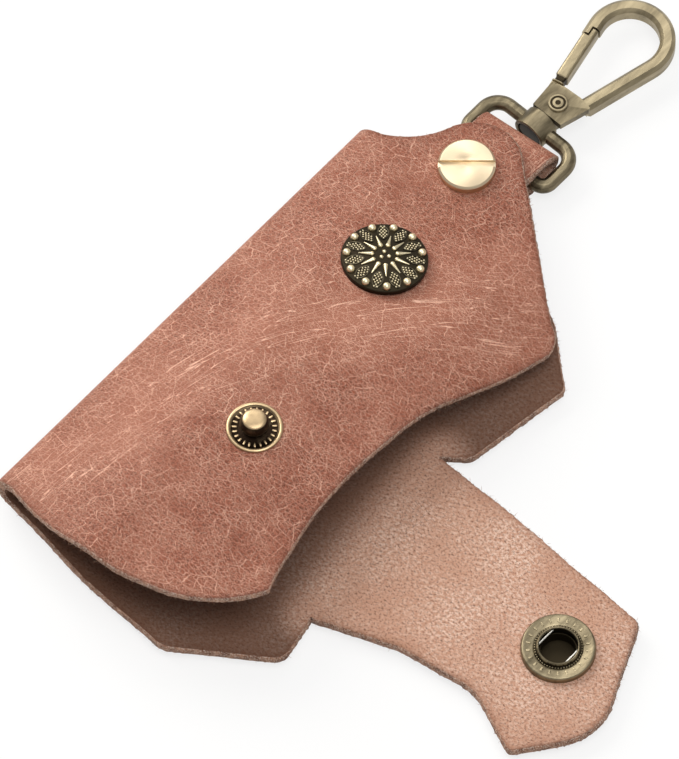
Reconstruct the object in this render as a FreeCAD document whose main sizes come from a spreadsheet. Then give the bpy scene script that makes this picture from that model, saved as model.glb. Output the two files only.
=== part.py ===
"""Leather key case with a snap flap, clamp screw, rosette button and swivel hook.

Millimetres, +Z up. The origin is the centre of the clamp screw's flat foot, on the
surface that the case rests on. +Y runs along the spine towards the hook.
"""

import FreeCAD
import Part
import math
import os

import Sketcher

Vector = FreeCAD.Vector
Rotation = FreeCAD.Rotation
Placement = FreeCAD.Placement

# The leather pattern is drawn from the bottom of the spine on a 60 by 100 blank
# and is stretched to the case's own width and length.
PATTERN_WIDE = 60.0
PATTERN_LONG = 100.0
SCREW_PLACE = (20.6, 100.4)
STUD_PLACE = (30.6, 32.7)
CONCHO_PLACE = (24.0, 74.5)
SOCKET_PLACE = (96.0, 40.6)
LOBE_RADIUS = 10.2
LOBE_END = math.radians(15.0)
SLOT_TURN = -48.0
SPOKES = 11
SPRING_ARC = 300.0
WIRE_SIDES = 10

SIZES = (
    ("case_wide", 60.0, "spine to right edge"),
    ("case_long", 100.0, "length of the spine and lobe"),
    ("leather", 2.0, "thickness of the wrap"),
    ("strap_leather", 1.8, "thickness of the hanger strap"),
    ("foot_thick", 1.2, "thickness of the post foot and the snap cap"),
    ("crest_high", 16.0, "top of the arched front"),
    ("spine_radius", 3.6, "outer radius of the fold"),
    ("crest_round", 10.0, "outer radius where the front levels out"),
    ("screw_radius", 5.2, "clamp screw head and foot"),
    ("screw_head", 1.9, "height of the slotted head"),
    ("screw_slot", 1.2, "width of the slot"),
    ("slot_deep", 0.9, "depth of the slot"),
    ("barrel_radius", 2.3, "threaded barrel"),
    ("shank_radius", 1.5, "screw shank"),
    ("fit_gap", 0.05, "radial room of a fixed fit"),
    ("turn_gap", 0.1, "radial room of a turning fit"),
    ("hole_gap", 0.1, "radial room of a punched hole"),
    ("concho_radius", 7.85, "rosette button"),
    ("concho_rim", 1.0, "height of the button at its rim"),
    ("concho_dome", 0.7, "rise of the button's middle"),
    ("dome_top", 5.6, "radius of the button's raised middle"),
    ("bead_radius", 0.62, "rim bead"),
    ("bead_high", 0.55, "height of a rim bead above the rim"),
    ("bead_ring", 6.95, "circle that the rim beads stand on"),
    ("spoke_start", 1.2, "inner end of a spoke from the button's middle"),
    ("spoke_swell", 2.1, "widest place of a spoke from the middle"),
    ("spoke_end", 5.4, "outer end of a spoke from the middle"),
    ("spoke_wide", 1.0, "widest part of a spoke"),
    ("spoke_rise", 0.25, "spokes above the button's dome"),
    ("rivet_radius", 1.5, "post of the button's rivet"),
    ("rivet_head", 3.4, "radius of the rivet's inner head"),
    ("head_thick", 0.8, "thickness of the heads inside the pocket"),
    ("stud_radius", 2.5, "bulb of the snap stud"),
    ("stud_neck", 1.9, "neck of the snap stud"),
    ("stud_high", 3.6, "stud above the leather"),
    ("eyelet_radius", 4.85, "flange round the stud"),
    ("eyelet_thick", 0.45, "thickness of that flange"),
    ("backer_radius", 5.0, "plate behind the stud"),
    ("socket_radius", 6.75, "snap socket and its cap"),
    ("socket_high", 2.0, "socket above the flap"),
    ("socket_mouth", 3.7, "hole of the socket"),
    ("socket_tube", 3.2, "tube of the cap through the flap"),
    ("wire_radius", 0.25, "socket spring wire"),
    ("close_room", 2.8, "flap above the front when snapped shut"),
    ("fold_turn", 100.0, "turn of the first fold when snapped shut"),
    ("strap_wide", 15.4, "hanger strap"),
    ("strap_tail", 8.0, "strap below the screw"),
    ("clamp_flat", 4.35, "from the screw to the drop of the strap's lower layer"),
    ("hanger_side", 1.6, "hanger to the right of the screw"),
    ("loop_room", 0.6, "room in the strap's loop beyond the ring's bar"),
    ("ring_wire", 2.8, "wire of the swivel ring"),
    ("ring_wide", 22.0, "outside width of the ring"),
    ("ring_bar", 8.2, "axis of the ring's bar from the screw"),
    ("ring_long", 10.2, "outside length of the ring from that axis"),
    ("ring_corner", 1.9, "bend of the ring's lower corners"),
    ("ring_crown", 3.4, "bend of the ring's upper corners"),
    ("boss_radius", 3.3, "swivel boss"),
    ("boss_long", 4.0, "length of the boss"),
    ("post_radius", 1.4, "swivel post"),
    ("post_head", 2.4, "radius of the post's head"),
    ("hook_room", 0.4, "room between boss and hook"),
    ("hook_wide", 2.8, "hook section in plan"),
    ("hook_thick", 3.6, "hook section across"),
    ("hook_bevel", 0.7, "bevel along the hook's corners"),
    ("fork_thick", 4.6, "forked base of the hook"),
    ("pivot_up", 3.0, "gate pivot above the hook's base"),
    ("pivot_side", 0.5, "gate pivot to the right of the swivel's axis"),
    ("loop_radius", 6.8, "centre line of the hook's top bend"),
    ("loop_up", 19.1, "centre of that bend above the pivot"),
    ("loop_side", 0.3, "centre of that bend beside the pivot"),
    ("arm_side", 2.0, "foot of the hook's arm beside the pivot"),
    ("arm_down", 2.5, "foot of the hook's arm below the pivot"),
    ("gate_wide", 2.4, "gate bar"),
    ("gate_thick", 3.2, "gate bar across"),
    ("gate_long", 17.0, "pivot to the end of the gate"),
    ("gate_aside", 2.5, "gate's middle line to the left of the pivot"),
    ("gate_start", 4.3, "pivot to the foot of the gate's bar"),
    ("tang_thick", 1.8, "gate tang in the fork"),
    ("tang_radius", 2.6, "round of the tang"),
    ("pin_radius", 1.0, "gate pin"),
    ("coil_radius", 1.55, "middle of the gate spring's wire"),
    ("coil_wire", 0.44, "flat wire of the gate spring"),
)

doc = FreeCAD.newDocument("KeyCase")
sheet = doc.addObject("Spreadsheet::Sheet", "Sizes")
for row, (alias, number, meaning) in enumerate(SIZES, start=1):
    sheet.set(f"A{row}", alias)
    sheet.set(f"B{row}", str(number))
    sheet.set(f"C{row}", meaning)
    sheet.setAlias(f"B{row}", alias)
doc.recompute()

nodes = []


def size(alias):
    """A driving size from the sheet."""
    return float(sheet.get(alias))


def keep(piece):
    """List a finished piece for writing."""
    nodes.append(piece)
    return piece


def bind(piece, **expressions):
    """Tie properties of a piece to formulas on the sheet."""
    for name, formula in expressions.items():
        piece.setExpression(name, formula)
    return piece


def on_pattern(x, y, z=0.0):
    """A point of the flat pattern in the part's frame."""
    across = (x - SCREW_PLACE[0]) * size("case_wide") / PATTERN_WIDE
    along = (y - SCREW_PLACE[1]) * size("case_long") / PATTERN_LONG
    return Vector(across, along, z)


def line(start, end):
    """A straight edge."""
    return Part.makeLine(start, end)


def bend(start, through, end):
    """A round edge through three points."""
    return Part.Arc(start, through, end).toShape()


def rounded_edges(corners, closed=True):
    """Edges through corners of the form (point, radius), each corner a tangent arc."""
    count = len(corners)
    edges = []
    last = None
    first = None
    for index, (point, radius) in enumerate(corners):
        if not closed and index in (0, count - 1):
            radius = 0.0
        entry = point
        leave = point
        middle = None
        if radius > 0.0:
            before = (corners[index - 1][0] - point).normalize()
            after = (corners[(index + 1) % count][0] - point).normalize()
            half = before.getAngle(after) / 2.0
            entry = point + before * (radius / math.tan(half))
            leave = point + after * (radius / math.tan(half))
            inward = (before + after).normalize()
            middle = point + inward * (radius / math.sin(half) - radius)
        if last is not None:
            edges.append(line(last, entry))
        if middle is not None:
            edges.append(bend(entry, middle, leave))
        if first is None:
            first = entry
        last = leave
    if closed:
        edges.append(line(last, first))
    return edges


def prism(edges, bottom, top):
    """A flat outline raised between two heights."""
    face = Part.Face(Part.Wire(Part.__sortEdges__(edges)))
    face.translate(Vector(0.0, 0.0, bottom - face.BoundBox.ZMin))
    return face.extrude(Vector(0.0, 0.0, top - bottom))


def feature(label, shape, placement=None):
    """A piece whose shape is worked out from the sheet's sizes."""
    piece = doc.addObject("Part::Feature", label)
    piece.Label = label
    piece.Shape = shape
    if placement is not None:
        piece.Placement = placement
    return piece


def origin_plane(body, role):
    """A plane or axis of a body's own origin."""
    for item in body.Origin.OriginFeatures:
        if item.Role == role:
            return item
    raise ValueError(role)


def sketch_on(body, name, role):
    """An empty sketch on one of the body's own planes."""
    sketch = body.newObject("Sketcher::SketchObject", name)
    sketch.AttachmentSupport = (origin_plane(body, role), [""])
    sketch.MapMode = "FlatFace"
    return sketch


def polygon_sketch(body, name, role, corners):
    """A closed outline whose every corner is placed by two formulas on the sheet."""
    sketch = sketch_on(body, name, role)
    count = len(corners)
    turn = 2.0 * math.pi / count
    ring = [Vector(math.cos(turn * step), math.sin(turn * step), 0.0) for step in range(count)]
    for step in range(count):
        sketch.addGeometry(Part.LineSegment(ring[step], ring[(step + 1) % count]), False)
    for step in range(count):
        sketch.addConstraint(Sketcher.Constraint("Coincident", step, 2, (step + 1) % count, 1))
    for step, (across, up) in enumerate(corners):
        for kind, axis, formula in (("DistanceX", -2, across), ("DistanceY", -1, up)):
            if formula == "0":
                sketch.addConstraint(Sketcher.Constraint("PointOnObject", step, 1, axis))
                continue
            datum = sketch.addConstraint(Sketcher.Constraint(kind, -1, 1, step, 1, 1.0))
            sketch.setExpression(f"Constraints[{datum}]", formula)
    return sketch


def turned(label, corners, turn=360.0):
    """A turned piece: a half section, drawn outward and up, spun about its own Z axis."""
    body = doc.addObject("PartDesign::Body", label)
    body.Label = label
    sketch = polygon_sketch(body, f"{label}_section", "XZ_Plane", corners)
    spin = body.newObject("PartDesign::Revolution", f"{label}_spin")
    spin.Profile = sketch
    spin.ReferenceAxis = (sketch, ["V_Axis"])
    spin.Angle = turn
    return body


# Heights of the stacked leather, from the surface that the case rests on.
leather = size("leather")
strap_leather = size("strap_leather")
back_under = size("foot_thick")
back_top = back_under + leather
hanger_mid = back_top + strap_leather
front_under = hanger_mid + strap_leather
front_flat = front_under + leather
loop_inner = size("ring_wire") / 2.0 + size("turn_gap")
ring_level = hanger_mid - loop_inner
long_scale = size("case_long") / PATTERN_LONG
side_scale = size("case_wide") / PATTERN_WIDE

BACK_TOP = "(Sizes.foot_thick + Sizes.leather)"
FRONT_FLAT = "(Sizes.foot_thick + 2 * Sizes.leather + 2 * Sizes.strap_leather)"

# Closing geometry: the flap folds twice, square to the line from stud to socket,
# and lands the socket on the stud with the flap level above the front.
stud_point = on_pattern(*STUD_PLACE)
socket_point = on_pattern(*SOCKET_PLACE)
closing = socket_point - stud_point
closing_long = closing.Length
closing_way = Vector(closing).normalize()
fold_way = Vector(-closing_way.y, closing_way.x, 0.0)
fold_turn = math.radians(size("fold_turn"))
gusset_wide = (size("crest_high") + size("close_room") - back_top) / math.sin(fold_turn)
fold_one = (closing_long - gusset_wide * (1.0 + math.cos(fold_turn))) / 2.0
fold_two = fold_one + gusset_wide


def on_flap(along, aside):
    """A point along the closing line from the stud, and to its left on the flat pattern."""
    return stud_point + closing_way * along + fold_way * (aside * long_scale)


# Edges of the flap, measured to the left of the closing line.
ROOT_UPPER = 19.9
ROOT_LOWER = -20.0
FOLD_UPPER = 18.0
FOLD_LOWER = -15.9

# Corners of the flap's tip: beyond the socket, to the left of the closing line, corner radius.
FLAP_TIP = (
    (-10.0, -15.2, 14.0),
    (4.3, -22.3, 1.5),
    (15.2, -9.6, 4.0),
    (8.5, 12.6, 2.0),
)

# Height profile of the front: pattern place along the spine, share of the full rise,
# place where the front levels out, and how far the right edge hangs below the crest.
FALL_START = 40.0
FALL_END = 62.0
ARCH = (
    (-9.0, 1.0, 26.0, 0.8),
    (18.0, 1.0, 22.0, 0.8),
    (48.0, 1.0, 19.0, 3.0),
    (65.0, 0.86, 16.5, 5.5),
    (84.0, 0.36, 13.0, 5.0),
)
DROP_SLOPE = math.radians(60.0)
LOBE_REACH = 12.0
FLAT_LEVEL = 11.5


def wrap_section(along, crest, level_start, fall):
    """Closed section of the folded leather at one place along the spine."""
    spine = on_pattern(0.0, 0.0).x
    right = on_pattern(FALL_END, 0.0).x
    level = on_pattern(level_start, 0.0).x
    fall_from = on_pattern(FALL_START, 0.0).x
    outer = size("spine_radius")
    inner = outer - leather
    centre = Vector(spine + outer, along, back_under + outer)
    reach = math.hypot(level - centre.x, crest - centre.z)
    rise = math.acos(outer / reach) - math.atan2(level - centre.x, crest - centre.z)
    drop = math.atan2(fall, right - fall_from)
    round_outer = size("crest_round")
    round_inner = round_outer - leather
    trim = round_outer * math.tan(rise / 2.0)

    def at(x, z):
        return Vector(x, along, z)

    def on_fold(radius, angle):
        return at(centre.x + radius * math.cos(angle), centre.z + radius * math.sin(angle))

    def on_crest(radius, angle):
        middle_x = level + trim
        return at(middle_x + radius * math.cos(angle), crest - round_outer + radius * math.sin(angle))

    upright = math.pi / 2.0
    leaving = upright + rise
    half_fold = (1.5 * math.pi + leaving) / 2.0
    corner = fall_from - leather * math.tan(drop / 2.0)
    points_outer = [at(right, back_under), on_fold(outer, 1.5 * math.pi)]
    end_top = crest - fall
    end_under = end_top - leather / math.cos(drop)
    edges = [
        line(*points_outer),
        bend(on_fold(outer, 1.5 * math.pi), on_fold(outer, half_fold), on_fold(outer, leaving)),
        line(on_fold(outer, leaving), on_crest(round_outer, leaving)),
        bend(
            on_crest(round_outer, leaving),
            on_crest(round_outer, upright + rise / 2.0),
            on_crest(round_outer, upright),
        ),
        line(on_crest(round_outer, upright), at(fall_from, crest)),
        line(at(fall_from, crest), at(right, end_top)),
        line(at(right, end_top), at(right, end_under)),
        line(at(right, end_under), at(corner, crest - leather)),
        line(at(corner, crest - leather), on_crest(round_inner, upright)),
        bend(
            on_crest(round_inner, upright),
            on_crest(round_inner, upright + rise / 2.0),
            on_crest(round_inner, leaving),
        ),
        line(on_crest(round_inner, leaving), on_fold(inner, leaving)),
        bend(on_fold(inner, leaving), on_fold(inner, half_fold), on_fold(inner, 1.5 * math.pi)),
        line(on_fold(inner, 1.5 * math.pi), at(right, back_top)),
        line(at(right, back_top), at(right, back_under)),
    ]
    return Part.Wire(edges)


def crest_at(share):
    """Height of the front's level part at a share of its full rise."""
    return front_flat + share * (size("crest_high") - front_flat)


def front_outline():
    """Cut edge of the front panel, anticlockwise from the spine's foot."""
    p = on_pattern
    lobe = LOBE_RADIUS * side_scale
    right_side = Vector(0.645, 0.764, 0.0).normalize()
    lobe_right = right_side * lobe
    lobe_left = Vector(-math.cos(LOBE_END), math.sin(LOBE_END), 0.0) * lobe
    return [
        line(p(-3.0, 0.0), p(4.0, 0.0)),
        bend(p(4.0, 0.0), p(22.0, -3.6), p(40.0, -2.2)),
        bend(p(40.0, -2.2), p(49.0, 3.2), p(54.4, 10.3)),
        bend(p(54.4, 10.3), p(49.2, 36.0), p(51.5, 60.0)),
        bend(p(51.5, 60.0), p(54.4, 70.0), p(56.3, 80.5)),
        bend(p(56.3, 80.5), p(55.8, 84.6), p(52.9, 87.0)),
        line(p(52.9, 87.0), lobe_right),
        bend(lobe_right, Vector(0.0, lobe, 0.0), lobe_left),
        bend(lobe_left, p(8.0, 97.9), p(4.0, 96.4)),
        line(p(4.0, 96.4), p(-3.0, 96.4)),
        line(p(-3.0, 96.4), p(-3.0, 0.0)),
    ]


def back_outline():
    """Cut edge of the back panel, with the flap's root on the first fold line."""
    p = on_pattern
    lobe = size("clamp_flat") - size("hole_gap")
    lobe_right = Vector(0.6, 0.8, 0.0) * lobe
    lobe_left = Vector(-1.0, 0.0, 0.0) * lobe
    corners = [
        (lobe_left, 0.0),
        (p(4.0, 96.4), 0.0),
        (p(-3.0, 96.4), 0.0),
        (p(-3.0, 0.0), 0.0),
        (p(4.0, 0.0), 0.0),
        (p(24.0, -5.2), 12.0),
        (p(43.0, -5.2), 6.0),
        (p(60.0, 7.5), 3.0),
        (on_flap(fold_one, ROOT_LOWER), 0.0),
        (on_flap(fold_one, ROOT_UPPER), 0.0),
        (p(60.0, 59.0), 3.0),
        (p(60.0, 81.3), 1.5),
        (p(51.5, 89.5), 4.0),
        (lobe_right, 0.0),
    ]
    edges = rounded_edges(corners, closed=False)
    edges.append(bend(lobe_right, Vector(0.0, lobe, 0.0), lobe_left))
    return edges


def seat(place, slope):
    """Frame on the front's outer face, with Z square to the leather."""
    return Placement(place, Rotation(Vector(1.0, 0.0, 0.0), math.degrees(slope)))


def concho_frame():
    """The button sits in the middle of one level stretch of the arch."""
    lower, upper = ARCH[-2:]
    run = on_pattern(0.0, upper[0]).y - on_pattern(0.0, lower[0]).y
    fall = crest_at(upper[1]) - crest_at(lower[1])
    share = (CONCHO_PLACE[1] - lower[0]) / (upper[0] - lower[0])
    place = on_pattern(*CONCHO_PLACE, crest_at(lower[1]) + share * fall)
    return seat(place, math.atan2(fall, run))


STUD_FRAME = Placement(on_pattern(*STUD_PLACE, size("crest_high")), Rotation())
CONCHO_FRAME = concho_frame()


def drilled(shape, frame, radius, deep):
    """A shape with a round hole punched square to a seat."""
    tool = Part.makeCylinder(radius, 2.0 * deep, Vector(0.0, 0.0, -deep))
    tool.Placement = frame
    return shape.cut(tool)


def leather_wrap():
    """One leather panel folded at the spine: flat back, arched front, lobes at the screw."""
    flat = size("screw_radius") + 3.0 * size("hole_gap")
    sections = []
    for along, share, level, fall in ARCH:
        sections.append(wrap_section(on_pattern(0.0, along).y, crest_at(share), level, fall))
    for along in (-flat, LOBE_REACH):
        sections.append(wrap_section(along, front_flat, FLAT_LEVEL, 1.5))
    folded = Part.makeLoft(sections, True, True)
    reach = folded.BoundBox
    margin = leather
    block = Part.makeBox(
        reach.XLength + 2.0 * margin,
        reach.YLength + 2.0 * margin,
        reach.ZMax + margin - hanger_mid,
        Vector(reach.XMin - margin, reach.YMin - margin, hanger_mid),
    )
    front_waste = block.cut(prism(front_outline(), hanger_mid - margin, reach.ZMax + 2.0 * margin))
    block = Part.makeBox(
        reach.XLength + 2.0 * margin,
        reach.YLength + 2.0 * margin,
        hanger_mid + margin,
        Vector(reach.XMin - margin, reach.YMin - margin, -margin),
    )
    back_waste = block.cut(prism(back_outline(), -2.0 * margin, hanger_mid + margin))
    shape = folded.cut(front_waste).cut(back_waste)
    hole = size("barrel_radius") + size("hole_gap")
    shape = drilled(shape, Placement(), hole, size("crest_high"))
    shape = drilled(shape, CONCHO_FRAME, size("rivet_radius") + size("hole_gap"), 2.0 * leather)
    shape = drilled(shape, STUD_FRAME, size("stud_neck") + size("hole_gap"), 2.0 * leather)
    return keep(feature("leather_wrap", largest(shape)))


def largest(shape):
    """The main solid of a cut shape, without loose offcuts."""
    return max(shape.Solids, key=lambda solid: solid.Volume)


def hanger_strap():
    """Strap folded round the ring's bar: level above, dropping below, clamped at the screw."""
    drop = 2.0 * loop_inner
    start = size("clamp_flat")
    low = start + drop / math.tan(DROP_SLOPE)
    shift = strap_leather * math.tan(DROP_SLOPE / 2.0)
    outer = loop_inner + strap_leather
    tail = -size("strap_tail")
    centre = size("ring_bar") + loop_inner + size("loop_room")
    under = -strap_leather

    def at(y, z):
        return Vector(0.0, y, hanger_mid + z)

    edges = [
        line(at(tail, strap_leather), at(centre, strap_leather)),
        bend(at(centre, strap_leather), at(centre + outer, -loop_inner), at(centre, under - drop)),
        line(at(centre, under - drop), at(low, under - drop)),
        line(at(low, under - drop), at(start, under)),
        line(at(start, under), at(tail, under)),
        line(at(tail, under), at(tail, strap_leather)),
    ]
    loop = [
        line(at(start + shift, 0.0), at(centre, 0.0)),
        bend(at(centre, 0.0), at(centre + loop_inner, -loop_inner), at(centre, -drop)),
        line(at(centre, -drop), at(low + shift, -drop)),
        line(at(low + shift, -drop), at(start + shift, 0.0)),
    ]
    wide = Vector(size("strap_wide"), 0.0, 0.0)
    side = Vector(size("hanger_side") - size("strap_wide") / 2.0, 0.0, 0.0)
    shape = Part.Face(Part.Wire(edges)).extrude(wide)
    shape = shape.cut(Part.Face(Part.Wire(loop)).extrude(wide))
    shape.translate(side)
    shape = drilled(shape, Placement(), size("barrel_radius") + size("hole_gap"), size("crest_high"))
    return keep(feature("hanger_strap", shape))


def clamp_screws():
    """Two-part clamp screw: a barrel on a flat foot and a slotted head with its shank."""
    post = turned(
        "screw_post",
        (
            ("0", "0"),
            ("Sizes.screw_radius", "0"),
            ("Sizes.screw_radius", "Sizes.foot_thick"),
            ("Sizes.barrel_radius", "Sizes.foot_thick"),
            ("Sizes.barrel_radius", f"{FRONT_FLAT} - Sizes.turn_gap"),
            ("Sizes.shank_radius + Sizes.fit_gap", f"{FRONT_FLAT} - Sizes.turn_gap"),
            ("Sizes.shank_radius + Sizes.fit_gap", "Sizes.foot_thick + Sizes.fit_gap"),
            ("0", "Sizes.foot_thick + Sizes.fit_gap"),
        ),
    )
    keep(post)
    screw = turned(
        "clamp_screw",
        (
            ("0", "Sizes.foot_thick + 4 * Sizes.turn_gap"),
            ("Sizes.shank_radius", "Sizes.foot_thick + 4 * Sizes.turn_gap"),
            ("Sizes.shank_radius", FRONT_FLAT),
            ("Sizes.screw_radius", FRONT_FLAT),
            ("Sizes.screw_radius", f"{FRONT_FLAT} + 0.8 * Sizes.screw_head"),
            ("0.94 * Sizes.screw_radius", f"{FRONT_FLAT} + Sizes.screw_head"),
            ("0", f"{FRONT_FLAT} + Sizes.screw_head"),
        ),
    )
    slot = polygon_sketch(
        screw,
        "clamp_screw_slot",
        "XZ_Plane",
        (
            ("-Sizes.screw_slot / 2", f"{FRONT_FLAT} + Sizes.screw_head - Sizes.slot_deep"),
            ("Sizes.screw_slot / 2", f"{FRONT_FLAT} + Sizes.screw_head - Sizes.slot_deep"),
            ("Sizes.screw_slot / 2", f"{FRONT_FLAT} + 2 * Sizes.screw_head"),
            ("-Sizes.screw_slot / 2", f"{FRONT_FLAT} + 2 * Sizes.screw_head"),
        ),
    )
    cut = screw.newObject("PartDesign::Pocket", "clamp_screw_slot_cut")
    cut.Profile = slot
    cut.SideType = "Symmetric"
    cut.Type = "Length"
    bind(cut, Length="4 * Sizes.screw_radius")
    screw.Placement = Placement(Vector(), Rotation(Vector(0.0, 0.0, 1.0), SLOT_TURN))
    keep(screw)


def concho_button():
    """Domed button with the rosette's spokes and a rim bead to each spoke."""
    body = turned(
        "concho_button",
        (
            ("0", "0"),
            ("Sizes.concho_radius", "0"),
            ("Sizes.concho_radius", "Sizes.concho_rim"),
            ("Sizes.bead_ring - Sizes.bead_radius", "Sizes.concho_rim"),
            ("Sizes.dome_top", "Sizes.concho_rim + Sizes.concho_dome"),
            ("0", "Sizes.concho_rim + Sizes.concho_dome"),
        ),
    )
    half = "Sizes.bead_radius / 2"
    bead_side = "sqrt(3) * Sizes.bead_radius / 2"
    hexagon = polygon_sketch(
        body,
        "concho_bead_outline",
        "XY_Plane",
        (
            ("Sizes.bead_ring + Sizes.bead_radius", "0"),
            (f"Sizes.bead_ring + {half}", bead_side),
            (f"Sizes.bead_ring - {half}", bead_side),
            ("Sizes.bead_ring - Sizes.bead_radius", "0"),
            (f"Sizes.bead_ring - {half}", f"-{bead_side}"),
            (f"Sizes.bead_ring + {half}", f"-{bead_side}"),
        ),
    )
    bead = body.newObject("PartDesign::Pad", "concho_bead")
    bead.Profile = hexagon
    bind(bead, Length="Sizes.concho_rim + Sizes.bead_high")
    kite = polygon_sketch(
        body,
        "concho_spoke_outline",
        "XY_Plane",
        (
            ("Sizes.spoke_start", "0"),
            ("Sizes.spoke_swell", "-Sizes.spoke_wide / 2"),
            ("Sizes.spoke_end", "0"),
            ("Sizes.spoke_swell", "Sizes.spoke_wide / 2"),
        ),
    )
    spoke = body.newObject("PartDesign::Pad", "concho_spoke")
    spoke.Profile = kite
    bind(spoke, Length="Sizes.concho_rim + Sizes.concho_dome + Sizes.spoke_rise")
    doc.recompute()
    ring = body.newObject("PartDesign::PolarPattern", "concho_rosette")
    ring.Originals = [bead, spoke]
    ring.Axis = (origin_plane(body, "Z_Axis"), [""])
    ring.Angle = 360.0
    ring.Occurrences = SPOKES
    body.Tip = ring
    body.Placement = CONCHO_FRAME
    keep(body)


def concho_rivet():
    """Rivet through the leather, its flat head inside the pocket."""
    body = turned(
        "concho_rivet",
        (
            ("0", "-Sizes.leather - Sizes.head_thick"),
            ("Sizes.rivet_head", "-Sizes.leather - Sizes.head_thick"),
            ("Sizes.rivet_head", "-Sizes.leather"),
            ("Sizes.rivet_radius", "-Sizes.leather"),
            ("Sizes.rivet_radius", "0"),
            ("0", "0"),
        ),
    )
    body.Placement = CONCHO_FRAME
    keep(body)


def stud_pieces():
    """Snap stud on its backing plate, with the crimped eyelet round its neck."""
    backer = turned(
        "stud_backer",
        (
            ("0", "-Sizes.leather - Sizes.head_thick"),
            ("Sizes.backer_radius", "-Sizes.leather - Sizes.head_thick"),
            ("Sizes.backer_radius", "-Sizes.leather"),
            ("0", "-Sizes.leather"),
        ),
    )
    stud = turned(
        "snap_stud",
        (
            ("0", "-Sizes.leather"),
            ("Sizes.stud_neck", "-Sizes.leather"),
            ("Sizes.stud_neck", "0.34 * Sizes.stud_high"),
            ("Sizes.stud_radius", "0.5 * Sizes.stud_high"),
            ("Sizes.stud_radius", "0.74 * Sizes.stud_high"),
            ("0.84 * Sizes.stud_radius", "0.9 * Sizes.stud_high"),
            ("0.5 * Sizes.stud_radius", "Sizes.stud_high"),
            ("0", "Sizes.stud_high"),
        ),
    )
    bore = "Sizes.stud_neck + Sizes.fit_gap"
    eyelet = turned(
        "stud_eyelet",
        (
            (bore, "0"),
            ("Sizes.eyelet_radius", "0"),
            ("Sizes.eyelet_radius", "0.6 * Sizes.eyelet_thick"),
            ("0.94 * Sizes.eyelet_radius", "Sizes.eyelet_thick"),
            ("0.84 * Sizes.eyelet_radius", "Sizes.eyelet_thick"),
            ("0.78 * Sizes.eyelet_radius", "0.4 * Sizes.eyelet_thick"),
            (bore, "0.4 * Sizes.eyelet_thick"),
        ),
    )
    for body in (backer, stud, eyelet):
        body.Placement = STUD_FRAME
        keep(body)


def flap_leather():
    """The two hinged stretches of leather beyond the back panel."""
    gusset = [
        (on_flap(fold_one, ROOT_UPPER), 0.0),
        (on_flap(fold_one, ROOT_LOWER), 0.0),
        (on_flap(fold_two, FOLD_LOWER), 0.0),
        (on_flap(fold_two, FOLD_UPPER), 0.0),
    ]
    keep(feature("flap_gusset", prism(rounded_edges(gusset), back_under, back_top)))
    tip = [
        (on_flap(fold_two, FOLD_UPPER), 0.0),
        (on_flap(fold_two, FOLD_LOWER), 0.0),
    ]
    for beyond, aside, radius in FLAP_TIP:
        tip.append((on_flap(closing_long + beyond * side_scale, aside), radius * side_scale))
    shape = prism(rounded_edges(tip), back_under, back_top)
    frame = Placement(socket_point, Rotation())
    shape = drilled(shape, frame, size("socket_tube") + size("hole_gap"), 2.0 * back_top)
    keep(feature("closure_flap", shape))


def socket_pieces():
    """Snap socket on the suede side, its cap on the grain side and its two wire springs."""
    frame = Placement(socket_point, Rotation())
    mouth = "Sizes.socket_mouth"
    groove = "Sizes.socket_mouth + 0.5"
    socket = turned(
        "snap_socket",
        (
            (mouth, BACK_TOP),
            ("Sizes.socket_radius", BACK_TOP),
            ("Sizes.socket_radius", f"{BACK_TOP} + 0.35 * Sizes.socket_high"),
            ("0.92 * Sizes.socket_radius", f"{BACK_TOP} + 0.62 * Sizes.socket_high"),
            ("0.72 * Sizes.socket_radius", f"{BACK_TOP} + 0.8 * Sizes.socket_high"),
            ("0.64 * Sizes.socket_radius", f"{BACK_TOP} + Sizes.socket_high"),
            (mouth, f"{BACK_TOP} + Sizes.socket_high"),
            (mouth, f"{BACK_TOP} + 0.68 * Sizes.socket_high"),
            (groove, f"{BACK_TOP} + 0.68 * Sizes.socket_high"),
            (groove, f"{BACK_TOP} + 0.3 * Sizes.socket_high"),
            (mouth, f"{BACK_TOP} + 0.3 * Sizes.socket_high"),
        ),
    )
    tube = "Sizes.socket_tube"
    bore = "Sizes.socket_tube - 0.35"
    cap = turned(
        "snap_cap",
        (
            ("0", "0"),
            ("0.8 * Sizes.socket_radius", "0"),
            ("Sizes.socket_radius", "Sizes.foot_thick"),
            (tube, "Sizes.foot_thick"),
            (tube, f"{BACK_TOP} + 0.25 * Sizes.socket_high"),
            (bore, f"{BACK_TOP} + 0.25 * Sizes.socket_high"),
            (bore, "0.7 * Sizes.foot_thick"),
            ("0", "0.7 * Sizes.foot_thick"),
        ),
    )
    chord = size("socket_mouth") - 0.65
    half = math.sqrt((size("socket_mouth") + 0.4) ** 2 - (chord + size("wire_radius")) ** 2)
    level = back_top + 0.49 * size("socket_high")
    wires = []
    for side in (-chord, chord):
        wires.append(
            Part.makeCylinder(size("wire_radius"), 2.0 * half, Vector(side, -half, level), Vector(0.0, 1.0, 0.0))
        )
    spring = feature("socket_spring", Part.makeCompound(wires), frame)
    for body in (socket, cap):
        body.Placement = frame
    for piece in (socket, spring, cap):
        keep(piece)


def turned_along_y(place):
    """Placement that lays a turned piece's axis along +Y."""
    return Placement(place, Rotation(Vector(1.0, 0.0, 0.0), -90.0))


boss_end = size("ring_bar") + size("ring_long") + size("hook_room")
boss_start = boss_end - size("boss_long")
hook_base = boss_end + size("hook_room")
hanger_side = size("hanger_side")
cup_deep = size("boss_long") / 2.0


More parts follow.
